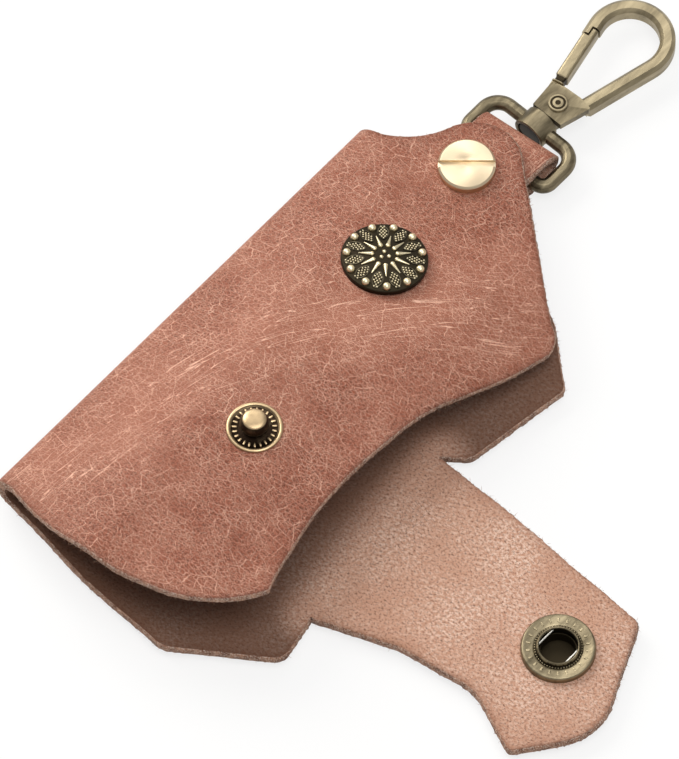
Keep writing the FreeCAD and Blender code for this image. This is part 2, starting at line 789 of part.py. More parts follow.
def swivel_ring():
    """D ring bent from round wire, with a swivel boss cupped towards the strap."""
    wire = size("ring_wire") / 2.0
    half = size("ring_wide") / 2.0 - wire
    bar = size("ring_bar")
    top = bar + size("ring_long") - wire
    crown = size("ring_crown")

    def at(x, y):
        return Vector(hanger_side + x, y, ring_level)

    path = rounded_edges(
        [
            (at(0.0, bar), 0.0),
            (at(half, bar), size("ring_corner")),
            (at(half, top), crown),
            (at(-half, top), crown),
            (at(-half, bar), size("ring_corner")),
        ]
    )
    corners = []
    for step in range(WIRE_SIDES):
        turn = 2.0 * math.pi * step / WIRE_SIDES
        corners.append((at(0.0, bar) + Vector(0.0, math.cos(turn), math.sin(turn)) * wire, 0.0))
    section = Part.Wire(rounded_edges(corners))
    ring = Part.Wire(path).makePipeShell([section], True, False)
    along = Vector(0.0, 1.0, 0.0)
    boss = Part.makeCylinder(size("boss_radius"), size("boss_long"), at(0.0, boss_start), along)
    shape = ring.fuse(boss).removeSplitter()
    bore = size("post_radius") + size("turn_gap")
    cup = size("post_head") + 2.0 * size("turn_gap")
    shape = shape.cut(Part.makeCylinder(bore, 2.0 * size("boss_long"), at(0.0, boss_start), along))
    shape = shape.cut(Part.makeCylinder(cup, cup_deep, at(0.0, boss_start), along))
    keep(feature("swivel_ring", largest(shape)))


def swivel_post():
    """Headed post that turns in the boss and carries the hook."""
    head = "Sizes.boss_long / 2 - 4 * Sizes.turn_gap"
    end = "Sizes.boss_long + Sizes.hook_room - 2 * Sizes.turn_gap"
    body = turned(
        "swivel_post",
        (
            ("0", "0"),
            ("Sizes.post_head", "0"),
            ("Sizes.post_head", head),
            ("Sizes.post_radius", head),
            ("Sizes.post_radius", end),
            ("0", end),
        ),
    )
    body.Placement = turned_along_y(Vector(hanger_side, boss_start + 2.0 * size("turn_gap"), ring_level))
    keep(body)


# Hook geometry, seen from above with the gate's pivot as centre.
pivot = Vector(hanger_side + size("pivot_side"), hook_base + size("pivot_up"), ring_level)
loop_centre = pivot + Vector(size("loop_side"), size("loop_up"), 0.0)
arm_foot = pivot + Vector(size("arm_side"), -size("arm_down"), 0.0)


def tangent_from(start, radius, side):
    """Direction and run from start to a circle about the top bend's centre, left (1) or right (-1)."""
    reach = loop_centre - start
    spread = side * math.asin(radius / reach.Length)
    heading = math.atan2(reach.y, reach.x) + spread
    run = math.sqrt(reach.Length ** 2 - radius ** 2)
    return Vector(math.cos(heading), math.sin(heading), 0.0), run


gate_way, gate_run = tangent_from(pivot, size("loop_radius") - size("gate_aside"), 1.0)
gate_in = Vector(gate_way.y, -gate_way.x, 0.0)
gate_root = pivot - gate_in * size("gate_aside")
GATE_FRAME = Placement(gate_root, Rotation(gate_in, gate_way, Vector(0.0, 0.0, 1.0), "ZXY"))
NOTCH_LONG = 1.4
NOTCH_GAP = 0.25

# Forked base of the hook above its foot: right of the pivot, above it, corner radius.
FORK_FOOT = 3.3
FORK_TOP = (
    (5.0, 3.2, 0.4),
    (2.3, 3.6, 0.8),
    (-1.4, 3.4, 0.4),
    (-3.8, 2.55, 0.4),
)
SLOT_RIGHT = 1.6
SLOT_LOW = 1.4
SLOT_REACH = 6.0


def gate_block(left, right, start, end, thick):
    """A block in the gate's frame: across, along and centred through its thickness."""
    block = Part.makeBox(right - left, end - start, thick, Vector(left, start, -thick / 2.0))
    block.Placement = GATE_FRAME
    return block


def hook_section(place, way):
    """Bevelled section of the hook, square to its path."""
    wide = size("hook_wide") / 2.0
    thick = size("hook_thick") / 2.0
    flat_wide = wide - size("hook_bevel")
    flat_thick = thick - size("hook_bevel")
    quarter = ((wide, flat_thick), (flat_wide, thick))
    outline = list(quarter)
    outline += [(-across, above) for across, above in reversed(quarter)]
    outline += [(-across, -above) for across, above in outline]
    aside = Vector(way.y, -way.x, 0.0).normalize()
    up = Vector(0.0, 0.0, 1.0)
    corners = [(place + aside * across + up * above, 0.0) for across, above in outline]
    return Part.Wire(rounded_edges(corners))


def hook_body():
    """Teardrop hook bent from one bar, with a forked base for the gate and a notched nose."""
    arm_way, arm_run = tangent_from(arm_foot, size("loop_radius"), -1.0)
    right = arm_foot + arm_way * arm_run
    left = gate_root + gate_way * gate_run
    crown = loop_centre + Vector(0.0, size("loop_radius"), 0.0)
    nose = gate_root + gate_way * (size("gate_long") - NOTCH_LONG)
    path = [line(arm_foot, right), bend(right, crown, left), line(left, nose)]
    section = hook_section(arm_foot, arm_way)
    loop = Part.Wire(path).makePipeShell([section], True, False)
    fork_thick = size("fork_thick")
    low = Vector(0.0, 0.0, -fork_thick / 2.0)
    fork = [
        (pivot + Vector(-FORK_FOOT, -size("pivot_up"), 0.0), 0.0),
        (pivot + Vector(FORK_FOOT, -size("pivot_up"), 0.0), 0.0),
    ]
    fork += [(pivot + Vector(across, above, 0.0), radius) for across, above, radius in FORK_TOP]
    cheeks = prism(rounded_edges(fork), pivot.z - fork_thick / 2.0, pivot.z + fork_thick / 2.0)
    shape = loop.fuse(cheeks)
    slot = size("tang_thick") + 2.0 * size("turn_gap")
    slot_low = Vector(0.0, 0.0, -slot / 2.0)
    room = size("tang_radius") + NOTCH_GAP
    shape = shape.cut(Part.makeCylinder(room, slot, pivot + slot_low))
    mouth_corner = pivot + slot_low - Vector(SLOT_REACH, SLOT_LOW, 0.0)
    shape = shape.cut(Part.makeBox(SLOT_REACH + SLOT_RIGHT, SLOT_REACH + SLOT_LOW, slot, mouth_corner))
    half = size("hook_wide")
    inner = gate_block(-NOTCH_GAP / 2.0, half, size("gate_long") - 2.0 * NOTCH_LONG,
                       size("gate_long") + NOTCH_GAP, 2.0 * size("hook_thick"))
    shape = shape.cut(inner)
    bore = size("pin_radius") + size("fit_gap")
    shape = shape.cut(Part.makeCylinder(bore, 2.0 * fork_thick, pivot + 2.0 * low))
    keep(feature("hook_body", largest(shape.removeSplitter())))


def hook_gate():
    """Gate bar with a thin tang in the fork, cupped for the spring, and a stepped nose."""
    half = size("gate_wide") / 2.0
    long = size("gate_long")
    start = size("gate_start")
    bar = gate_block(-half, half, start, long, size("gate_thick"))
    bar = bar.makeFillet(half / 2.0, [edge for edge in bar.Edges if is_along(edge, gate_way)])
    thick = size("tang_thick")
    tang = gate_block(-half, half, 0.0, start + NOTCH_GAP, thick)
    low = Vector(0.0, 0.0, -thick / 2.0)
    eye = Part.makeCylinder(size("tang_radius"), thick, pivot + low)
    shape = bar.fuse([tang, eye]).removeSplitter()
    bore = size("pin_radius") + size("turn_gap")
    shape = shape.cut(Part.makeCylinder(bore, 2.0 * thick, pivot + 2.0 * low))
    cup = size("coil_radius") + size("coil_wire") / 2.0 + size("turn_gap")
    deep = size("coil_wire") + 2.0 * size("turn_gap")
    shape = shape.cut(Part.makeCylinder(cup, deep, pivot + Vector(0.0, 0.0, thick / 2.0 - deep)))
    outer = gate_block(-2.0 * half, NOTCH_GAP / 2.0, long - NOTCH_LONG - NOTCH_GAP,
                       2.0 * long, 2.0 * size("gate_thick"))
    keep(feature("hook_gate", largest(shape.cut(outer))))


def is_along(edge, way):
    """Whether a straight edge runs along a direction."""
    run = edge.Vertexes[-1].Point - edge.Vertexes[0].Point
    return run.cross(way).Length < 0.001 * run.Length


def gate_pin():
    """Rivet with a low head on each cheek of the fork."""
    half = "Sizes.fork_thick / 2"
    head = "Sizes.fork_thick / 2 + 0.4 * Sizes.pin_radius"
    body = turned(
        "gate_pin",
        (
            ("0", f"-({head})"),
            ("1.4 * Sizes.pin_radius", f"-({head})"),
            ("1.8 * Sizes.pin_radius", f"-({half})"),
            ("Sizes.pin_radius", f"-({half})"),
            ("Sizes.pin_radius", half),
            ("1.8 * Sizes.pin_radius", half),
            ("1.4 * Sizes.pin_radius", head),
            ("0", head),
        ),
    )
    body.Placement = Placement(pivot, Rotation())
    keep(body)


def gate_spring():
    """Open turn of flat spring wire round the gate pin, in the tang's cup."""
    inner = "Sizes.coil_radius - Sizes.coil_wire / 2"
    outer = "Sizes.coil_radius + Sizes.coil_wire / 2"
    body = turned(
        "gate_spring",
        (
            (inner, "0"),
            (outer, "0"),
            (outer, "Sizes.coil_wire"),
            (inner, "Sizes.coil_wire"),
        ),
        SPRING_ARC,
    )
    lift = size("tang_thick") / 2.0 - size("coil_wire") - size("turn_gap")
    body.Placement = Placement(pivot + Vector(0.0, 0.0, lift), Rotation())
    keep(body)


def check_pieces():
    """Stop before writing if any object failed or any piece is empty or broken."""
    doc.recompute()
    for item in doc.Objects:
        if "Invalid" in item.State or "Error" in item.State:
            raise RuntimeError(f"{item.Label} failed: {item.State}")
    for piece in nodes:
        if piece.Shape.isNull() or not piece.Shape.isValid() or not piece.Shape.Solids:
            raise RuntimeError(f"{piece.Label} has no valid solid")


def write_pieces():
    """Write one file for each piece."""
    os.makedirs("parts", exist_ok=True)
    for piece in nodes:
        piece.Shape.exportStep(f"parts/{piece.Label}.step")
        print(f"{piece.Label}: {piece.Shape.Volume:.1f} mm3")


leather_wrap()
hanger_strap()
clamp_screws()
concho_button()
concho_rivet()
stud_pieces()
flap_leather()
socket_pieces()
swivel_ring()
swivel_post()
hook_body()
hook_gate()
gate_pin()
gate_spring()
check_pieces()
write_pieces()
print(f"folds at {fold_one:.3f} and {fold_two:.3f} mm from the stud")
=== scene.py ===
"""Leather key case: waxed wrap with snap flap, brass clamp screw, rosette button and swivel hook.

Sizes in the classes are millimetres in the part's own frame, unless a comment says otherwise.
Meshes are made in metres.
"""

import logging
import math
from collections.abc import Callable, Iterator
from contextlib import contextmanager
from dataclasses import dataclass, field
from enum import Enum

import bpy
import numpy as np
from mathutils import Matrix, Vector
from mathutils.geometry import delaunay_2d_cdt


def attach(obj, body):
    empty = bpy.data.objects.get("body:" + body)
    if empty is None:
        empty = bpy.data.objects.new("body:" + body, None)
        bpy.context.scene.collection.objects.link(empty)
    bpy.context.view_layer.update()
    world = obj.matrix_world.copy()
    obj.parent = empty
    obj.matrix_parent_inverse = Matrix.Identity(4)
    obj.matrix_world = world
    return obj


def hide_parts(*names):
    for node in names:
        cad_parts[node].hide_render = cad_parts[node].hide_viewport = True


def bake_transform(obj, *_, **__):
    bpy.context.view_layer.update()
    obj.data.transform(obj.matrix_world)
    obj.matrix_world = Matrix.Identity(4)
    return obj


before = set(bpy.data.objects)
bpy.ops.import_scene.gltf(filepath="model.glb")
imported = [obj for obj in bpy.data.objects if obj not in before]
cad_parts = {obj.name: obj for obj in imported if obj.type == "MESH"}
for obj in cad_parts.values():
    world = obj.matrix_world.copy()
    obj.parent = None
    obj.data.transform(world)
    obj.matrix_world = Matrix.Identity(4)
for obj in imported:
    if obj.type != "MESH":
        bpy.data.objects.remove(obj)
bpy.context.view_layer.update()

LOG = logging.getLogger("key_case")
MM = 0.001
WHITE = (1.0, 1.0, 1.0, 1.0)
FINE_NOISE = {"Detail": 3.0, "Roughness": 0.7}
# The UV map of a flat blank holds millimetres over this number.
BLANK_UNIT = 100.0
# The part's frame starts at the clamp screw, and the flat pattern at the spine's foot.
SCREW_ON_PATTERN = np.array((20.6, 100.4))

Point = tuple[float, float]
Place = tuple[float, float, float]
Colour = tuple[float, float, float, float]
Placer = Callable[[np.ndarray, np.ndarray], np.ndarray]
Wear = Callable[[np.ndarray], dict[str, np.ndarray]]


class Body(str, Enum):
    """Moving bodies of the part."""

    CASE = "case"
    FLAP_SIDE = "flap_side"
    FLAP_END = "flap_end"
    RING = "ring"
    HOOK = "hook"
    GATE = "gate"


class Slot(str, Enum):
    """Material slots of the record."""

    LEATHER = "leather"
    BRASS = "polished_brass"
    ANTIQUE = "antique_brass"


class HideFace(Enum):
    """Faces of a cut piece of hide, in the order of its finishes."""

    GRAIN = 0
    SUEDE = 1
    EDGE = 2


def linear(code: str) -> Colour:
    """Linear colour of an sRGB hex code."""
    parts = [int(code[i:i + 2], 16) / 255.0 for i in (0, 2, 4)]
    values = [p / 12.92 if p <= 0.04045 else ((p + 0.055) / 1.055) ** 2.4 for p in parts]
    return (values[0], values[1], values[2], 1.0)


@dataclass
class Shader:
    """Node tree of one material or world."""

    tree: bpy.types.NodeTree

    def add(
        self, kind: str, inputs: dict | None = None, output: int | str = 0, **settings: object
    ) -> bpy.types.NodeSocket:
        """Add a node.

        Args:
            kind: Node type without its common prefix.
            inputs: Socket name or number to a constant or to another node's output.
            output: Name or number of the output wanted.
            settings: Properties of the node itself.

        Returns:
            The wanted output, or the first input of a node without outputs.
        """
        node = self.tree.nodes.new(f"ShaderNode{kind}")
        for name, value in settings.items():
            setattr(node, name, value)
        for key, value in (inputs or {}).items():
            if isinstance(value, bpy.types.NodeSocket):
                self.tree.links.new(value, node.inputs[key])
            else:
                node.inputs[key].default_value = value
        return node.outputs[output] if node.outputs else node.inputs[0]

    def on_blank(self) -> bpy.types.NodeSocket:
        """Place on the flat blank in millimetres."""
        uv = self.add("UVMap", uv_map="blank")
        return self.add("VectorMath", {0: uv, "Scale": BLANK_UNIT}, operation="SCALE")

    def on_object(self) -> bpy.types.NodeSocket:
        """Place on the object in millimetres."""
        place = self.add("TexCoord", {}, "Object")
        return self.add("VectorMath", {0: place, "Scale": 1.0 / MM}, operation="SCALE")


def new_material(name: str) -> tuple[bpy.types.Material, Shader]:
    """An empty material and its node tree."""
    material = bpy.data.materials.new(name)
    material.use_nodes = True
    material.node_tree.nodes.clear()
    return material, Shader(material.node_tree)


@dataclass(frozen=True)
class WaxedLeather:
    """Waxed pull-up cowhide, grain side: a fine pale crackle and long flowing creases."""

    deep: str = "5A2D1D"
    base: str = "94543F"
    pale: str = "A86C56"
    line: str = "F2C2A9"
    # Sizes of the patterns in millimetres, and how often the grain wanders in one.
    patch: float = 5.0
    pore: float = 0.45
    cloud: float = 16.0
    relief: float = 0.1
    wander: float = 0.7
    wander_per_mm: float = 1.3
    rough: float = 0.55
    # Creases: how far they are drawn out, half the width of a line in the noise, and their strength.
    crease_stretch: float = 0.055
    crease_half: float = 0.013
    crease_strength: float = 0.8
    # Width of the thinnest crackle lines as a share of the widest.
    thinnest: float = 0.15
    # Each net: turn in degrees, length and width of a cell in millimetres, offset, strength, line width.
    nets: tuple = ((0.0, 0.52, 0.45, 0.0, 0.42, 0.12), (70.0, 1.4, 0.62, 5.0, 0.55, 0.1),
                   (140.0, 1.6, 0.6, 11.0, 0.55, 0.1), (95.0, 4.2, 1.9, 23.0, 0.72, 0.046),
                   (30.0, 2.8, 1.5, 31.0, 0.64, 0.048))

    def net(self, s: Shader, flat: bpy.types.NodeSocket, turn: float, cell: Point, shift: float,
            thick: float) -> bpy.types.NodeSocket:
        """One net of crackle lines.

        Args:
            s: Node tree to add to.
            flat: Place on the flat hide in millimetres.
            turn: Direction of the cells in degrees.
            cell: Length and width of the cells.
            shift: Offset that keeps one net apart from the next.
            thick: Half the widest line, as a share of a cell.

        Returns:
            Strength of the lines, thick and thin in turn.
        """
        place = s.add("Mapping", {
            "Vector": flat, "Location": (shift, -shift, 0.0), "Rotation": (0.0, 0.0, math.radians(-turn)),
            "Scale": (1.0 / cell[0], 1.0 / cell[1], 1.0),
        })
        gap = s.add("TexVoronoi", {"Vector": place, "Scale": 1.0}, "Distance",
                    feature="DISTANCE_TO_EDGE", voronoi_dimensions="2D")
        spot = s.add("Mapping", {"Vector": flat, "Location": (shift, shift, shift)})
        patch = s.add("TexNoise", {
            "Vector": spot, "Scale": 1.0 / self.patch, "Detail": 5.0, "Roughness": 0.65,
        })
        width = s.add("MapRange", {
            "Value": patch, "From Min": 0.42, "From Max": 0.68,
            "To Min": self.thinnest * thick, "To Max": thick,
        })
        return s.add("MapRange", {"Value": gap, "From Min": width, "From Max": 0.0},
                     interpolation_type="SMOOTHSTEP")

    def creases(self, s: Shader) -> bpy.types.NodeSocket:
        """Long pale creases that flow along the flexed band."""
        along = s.add("Attribute", {}, "Fac", attribute_name="band_along")
        across = s.add("Attribute", {}, "Fac", attribute_name="band_across")
        place = s.add("CombineXYZ", {0: along, 1: across})
        place = s.add("Mapping", {"Vector": place, "Scale": (self.crease_stretch, 1.0, 1.0)})
        strand = s.add("TexNoise", {
            "Vector": place, "Scale": 1.0, "Detail": 1.0, "Roughness": 0.4, "Distortion": 0.15,
        })
        middle = s.add("Math", {0: strand, 1: 0.5}, operation="SUBTRACT")
        away = s.add("Math", {0: middle}, operation="ABSOLUTE")
        return s.add("MapRange", {"Value": away, "From Min": self.crease_half, "From Max": 0.0},
                     interpolation_type="SMOOTHSTEP")

    def material(self) -> bpy.types.Material:
        """Build the material on the flat blank's own coordinates."""
        material, s = new_material("waxed_pull_up_leather")
        flat = s.on_blank()
        pull = s.add("Attribute", {}, "Fac", attribute_name="pull")
        rim = s.add("Attribute", {}, "Fac", attribute_name="rim")
        # The grain wanders a little, so no line runs dead straight.
        warp = s.add("TexNoise", {"Vector": flat, "Scale": self.wander_per_mm, "Detail": 2.0}, "Color")
        warp = s.add("VectorMath", {0: warp, 1: (0.5, 0.5, 0.5)}, operation="SUBTRACT")
        warp = s.add("VectorMath", {0: warp, "Scale": self.wander}, operation="SCALE")
        bent = s.add("VectorMath", {0: flat, 1: warp}, operation="ADD")
        crackle = None
        for turn, long, wide, shift, strength, thick in self.nets:
            lines = self.net(s, bent, turn, (long, wide), shift, thick)
            lines = s.add("Math", {0: lines, 1: strength}, operation="MULTIPLY")
            if crackle is None:
                crackle = lines
            else:
                crackle = s.add("Math", {0: crackle, 1: lines}, operation="MAXIMUM")
        crease = s.add("Math", {0: self.creases(s), 1: pull}, operation="MULTIPLY")
        # Fine pores darken the ground, and slow clouds of wax lighten it.
        pore = s.add("TexNoise", {"Vector": bent, "Scale": 1.0 / self.pore, "Detail": 3.0, "Roughness": 0.65})
        cloud = s.add("TexNoise", {"Vector": flat, "Scale": 1.0 / self.cloud, "Detail": 3.0})
        clear = s.add("MapRange", {"Value": pore, "From Min": 0.36, "From Max": 0.58})
        waxy = s.add("MapRange", {"Value": cloud, "From Min": 0.4, "From Max": 0.7, "To Max": 0.35})
        waxy = s.add("Math", {0: pull, 1: 0.45, 2: waxy}, operation="MULTIPLY_ADD", use_clamp=True)
        lined = s.add("Math", {0: crease, 1: self.crease_strength, 2: crackle},
                      operation="MULTIPLY_ADD", use_clamp=True)
        edge = s.add("Math", {0: rim, 1: 0.4}, operation="MULTIPLY")
        tone = linear(self.deep)
        for cover, colour in ((clear, self.base), (waxy, self.pale), (lined, self.line), (edge, self.deep)):
            tone = s.add("Mix", {0: cover, 6: tone, 7: linear(colour)}, 2, data_type="RGBA")
        height = s.add("Math", {0: pore, 1: 0.8, 2: lined}, operation="MULTIPLY_ADD")
        bump = s.add("Bump", {"Strength": 0.6, "Distance": self.relief * MM, "Height": height})
        skin = s.add("BsdfPrincipled", {
            "Base Color": tone, "Roughness": self.rough, "Normal": bump, "Specular IOR Level": 0.2,
        })
        s.add("OutputMaterial", {"Surface": skin})
        return material


@dataclass(frozen=True)
class Suede:
    """Flesh side of the same hide: short speckled nap with soft paler and darker smears."""

    deep: str = "55382A"
    base: str = "C0927A"
    pale: str = "F5DAC8"
    burnt: str = "85563F"
    # Sizes of the patterns in millimetres, and the way the nap lies in degrees. Real nap is finer:
    # it is drawn as coarse as it needs to be to show.
    nap: float = 0.38
    tuft: float = 0.55
    smear: float = 14.0
    relief: float = 0.18
    lay: float = 35.0
    rough: float = 0.95

    def material(self) -> bpy.types.Material:
        """Build the material on the flat blank's own coordinates."""
        material, s = new_material("suede_flesh_side")
        flat = s.on_blank()
        brushed = s.add("Mapping", {
            "Vector": flat, "Rotation": (0.0, 0.0, math.radians(self.lay)), "Scale": (0.75, 1.0, 1.0),
        })
        nap = s.add("TexNoise", {"Vector": brushed, "Scale": 1.0 / self.nap, **FINE_NOISE})
        tuft = s.add("TexNoise", {"Vector": brushed, "Scale": 1.0 / self.tuft, **FINE_NOISE})
        smear = s.add("TexNoise", {
            "Vector": flat, "Scale": 1.0 / self.smear, "Detail": 4.0, "Roughness": 0.55,
        })
        worn = s.add("MapRange", {
            "Value": smear, "From Min": 0.35, "From Max": 0.65, "To Min": 0.15, "To Max": 0.75,
        })
        lit = s.add("MapRange", {"Value": tuft, "From Min": 0.42, "From Max": 0.62})
        lit = s.add("Math", {0: lit, 1: worn}, operation="MULTIPLY")
        sunk = s.add("MapRange", {"Value": nap, "From Min": 0.5, "From Max": 0.3, "To Max": 0.9})
        # Handling has rubbed the nap brown along the cut edges, and inside the pocket the nap is darkened
        # with painted shade.
        rim = s.add("Attribute", {}, "Fac", attribute_name="rim")
        rubbed = s.add("Math", {0: rim, 1: 0.5}, operation="MULTIPLY")
        painted_pocket_shade = s.add("Attribute", {}, "Fac", attribute_name="painted_pocket_shade")
        tone = linear(self.base)
        for cover, colour in ((lit, self.pale), (sunk, self.deep), (rubbed, self.burnt), (painted_pocket_shade, self.deep)):
            tone = s.add("Mix", {0: cover, 6: tone, 7: linear(colour)}, 2, data_type="RGBA")
        height = s.add("Math", {0: tuft, 1: 0.7, 2: nap}, operation="MULTIPLY_ADD")
        bump = s.add("Bump", {"Strength": 0.7, "Distance": self.relief * MM, "Height": height})
        skin = s.add("BsdfPrincipled", {
            "Base Color": tone, "Roughness": self.rough, "Specular IOR Level": 0.1, "Normal": bump,
            "Sheen Weight": 0.2, "Sheen Roughness": 0.5, "Sheen Tint": linear(self.pale),
        })
        s.add("OutputMaterial", {"Surface": skin})
        return material


@dataclass(frozen=True)
class RawEdge:
    """Cut edge of the hide: dense pale fibres between the grain and the flesh."""

    deep: str = "6E4A3A"
    base: str = "A87D66"
    pale: str = "E6D3C3"
    # Sizes of the patterns in millimetres.
    fibre: float = 0.25
    clump: float = 1.2
    relief: float = 0.2
    rough: float = 0.9

    def material(self) -> bpy.types.Material:
        """Build the material on the object's own coordinates."""
        material, s = new_material("raw_cut_leather_edge")
        place = s.on_object()
        fibre = s.add("TexNoise", {"Vector": place, "Scale": 1.0 / self.fibre, **FINE_NOISE})
        clump = s.add("TexNoise", {"Vector": place, "Scale": 1.0 / self.clump, "Detail": 3.0})
        dense = s.add("MapRange", {"Value": clump, "From Min": 0.35, "From Max": 0.65})
        loose = s.add("MapRange", {"Value": fibre, "From Min": 0.47, "From Max": 0.66, "To Max": 0.8})
        tone = linear(self.deep)
        for cover, colour in ((dense, self.base), (loose, self.pale)):
            tone = s.add("Mix", {0: cover, 6: tone, 7: linear(colour)}, 2, data_type="RGBA")
        bump = s.add("Bump", {"Strength": 0.8, "Distance": self.relief * MM, "Height": fibre})
        cut = s.add("BsdfPrincipled", {
            "Base Color": tone, "Roughness": self.rough, "Specular IOR Level": 0.15, "Normal": bump,
        })
        s.add("OutputMaterial", {"Surface": cut})
        return material


@dataclass(frozen=True)
class Metal:
    """Hardware metal: tarnish in patches, darkness marked per point that is tarnish on some pieces and
    painted shade on others, brushed along one axis or turned.
    """

    name: str
    bright: str
    dull: str
    rough: float
    tarnish: float = 0.5
    # Blotches in millimetres, and how many times longer they are along the brushing.
    patch: float = 3.0
    brush: float = 1.0
    # Scuffs: depth and size in millimetres, as coarse as they need to be to show.
    scuff: float = 0.02
    speck: float = 0.3
    # What scuffs and stains add to the roughness, and how far turning draws out the shine.
    uneven: float = 0.16
    stain_rough: float = 0.12
    turned: float = 0.0

    def material(self) -> bpy.types.Material:
        """Build the material on the object's own coordinates."""
        material, s = new_material(self.name)
        drawn = s.add("Mapping", {"Vector": s.on_object(), "Scale": (1.0, 1.0 / self.brush, 1.0)})
        blotch = s.add("TexNoise", {
            "Vector": drawn, "Scale": 1.0 / self.patch, "Detail": 4.0, "Roughness": 0.65,
        })
        speck = s.add("TexNoise", {"Vector": drawn, "Scale": 1.0 / self.speck, **FINE_NOISE})
        # Darkness marked on each point: tarnish, and painted shade in bores, gaps and under heads.
        sunk = s.add("Attribute", {}, "Fac", attribute_name="tarnish_and_shade")
        stain_and_shade = s.add("MapRange", {
            "Value": blotch, "From Min": 0.35, "From Max": 0.7, "To Max": self.tarnish,
        })
        stain_and_shade = s.add("Math", {0: sunk, 1: stain_and_shade}, operation="ADD", use_clamp=True)
        tone = s.add("Mix", {0: stain_and_shade, 6: linear(self.bright), 7: linear(self.dull)}, 2, data_type="RGBA")
        smoothest = self.rough - self.uneven / 2.0
        rough = s.add("Math", {0: speck, 1: self.uneven, 2: smoothest}, operation="MULTIPLY_ADD")
        rough = s.add("Math", {0: stain_and_shade, 1: self.stain_rough, 2: rough},
                      operation="MULTIPLY_ADD", use_clamp=True)
        bump = s.add("Bump", {"Strength": 0.3, "Distance": self.scuff * MM, "Height": speck})
        inputs = {"Base Color": tone, "Metallic": 1.0, "Roughness": rough, "Normal": bump}
        if self.turned > 0.0:
            around = s.add("Tangent", direction_type="RADIAL", axis="Z")
            inputs |= {"Anisotropic": self.turned, "Tangent": around}
        s.add("OutputMaterial", {"Surface": s.add("BsdfPrincipled", inputs)})
        return material


class Finishes:
    """All finishes of the case, each built once."""

    def __init__(self) -> None:
        """Build the hide's three faces and the five metals."""
        self.grain = WaxedLeather().material()
        self.suede = Suede().material()
        self.edge = RawEdge().material()
        # Brass turned on a lathe: a warm pale shine, drawn out across the head.
        brass = Metal("polished_turned_brass", "D8C5A6", "CDB795", rough=0.36, tarnish=0.25, patch=6.0,
                      scuff=0.003, turned=0.65)
        self.brass = brass.material()
        # Brass plate, darkened and rubbed back: dull straw over brown blotches.
        antique = Metal("antique_brass_plate", "AC9E80", "362F23", rough=0.36, tarnish=0.55, patch=2.2,
                        brush=5.0)
        self.antique = antique.material()
        # Bronze blackened in its hollows: pale high spots on a near-black ground.
        dark = Metal("blackened_bronze", "EADBB6", "2F291F", rough=0.32, tarnish=0.2, patch=2.0)
        self.dark_bronze = dark.material()
        # Bronze plate, a little tarnished: a soft tan shine, dark in the recess.
        pale = Metal("pale_bronze_plate", "C6AC86", "2C2119", rough=0.34, tarnish=0.3, patch=2.5)
        self.pale_bronze = pale.material()
        # Drawn spring wire: a plain grey shine.
        steel = Metal("bright_spring_steel", "C9C6BE", "6E6A60", rough=0.25, tarnish=0.3, patch=1.0)
        self.steel = steel.material()


def on_pattern(x: float, y: float) -> np.ndarray:
    """A point of the flat pattern, measured from the spine's foot, in the part's frame."""
    return np.array((x, y)) - SCREW_ON_PATTERN


def smooth_step(value: np.ndarray, low: float, high: float) -> np.ndarray:
    """Smooth step from low (0) to high (1)."""
    share = np.clip((value - low) / (high - low), 0.0, 1.0)
    return share * share * (3.0 - 2.0 * share)


@dataclass
class Outline:
    """Cut edge drawn as lines and arcs, in short steps."""

    step: float = 0.45
    points: list[np.ndarray] = field(default_factory=list)
    seam: list[bool] = field(default_factory=list)

    def line(self, start: np.ndarray, end: np.ndarray, seam: bool = False) -> None:
        """Add a straight run without its last point."""
        count = max(1, round(float(np.linalg.norm(end - start)) / self.step))
        for index in range(count):
            self.points.append(start + (end - start) * (index / count))
            self.seam.append(seam)

    def arc(self, start: np.ndarray, through: np.ndarray, end: np.ndarray) -> None:
        """Add the arc through three points without its last point."""
        chord = np.array((through - start, end - start))
        centre = start + np.linalg.solve(2.0 * chord, (chord ** 2).sum(axis=1))
        radius = float(np.linalg.norm(start - centre))
        angles = [math.atan2(*(p - centre)[::-1]) for p in (start, through, end)]
        turn = (angles[2] - angles[0]) % math.tau
        if (angles[1] - angles[0]) % math.tau > turn:
            turn -= math.tau
        count = max(2, round(abs(turn) * radius / self.step))
        for index in range(count):
            angle = angles[0] + turn * index / count
            self.points.append(centre + radius * np.array((math.cos(angle), math.sin(angle))))
            self.seam.append(False)

    def corners(self, corners: list[tuple[np.ndarray, float]], seams: tuple[int, ...] = ()) -> None:
        """Add a run through corners with tangent arcs.

        Args:
            corners: Corner points, each with its radius. The ends stay sharp.
            seams: Numbers of the runs that join another piece and stay square.
        """
        last = corners[0][0]
        for index in range(1, len(corners)):
            point, radius = corners[index]
            if radius == 0.0 or index == len(corners) - 1:
                self.line(last, point, index - 1 in seams)
                last = point
                continue
            before = corners[index - 1][0] - point
            after = corners[index + 1][0] - point
            before = before / np.linalg.norm(before)
            after = after / np.linalg.norm(after)
            half = math.acos(float(np.clip(before @ after, -1.0, 1.0))) / 2.0
            reach = radius / math.tan(half)
            inward = (before + after) / np.linalg.norm(before + after)
            middle = point + inward * (radius / math.sin(half) - radius)
            self.line(last, point + before * reach, index - 1 in seams)
            self.arc(point + before * reach, middle, point + after * reach)
            last = point + after * reach

    def array(self) -> np.ndarray:
        """All points as rows."""
        return np.array(self.points)


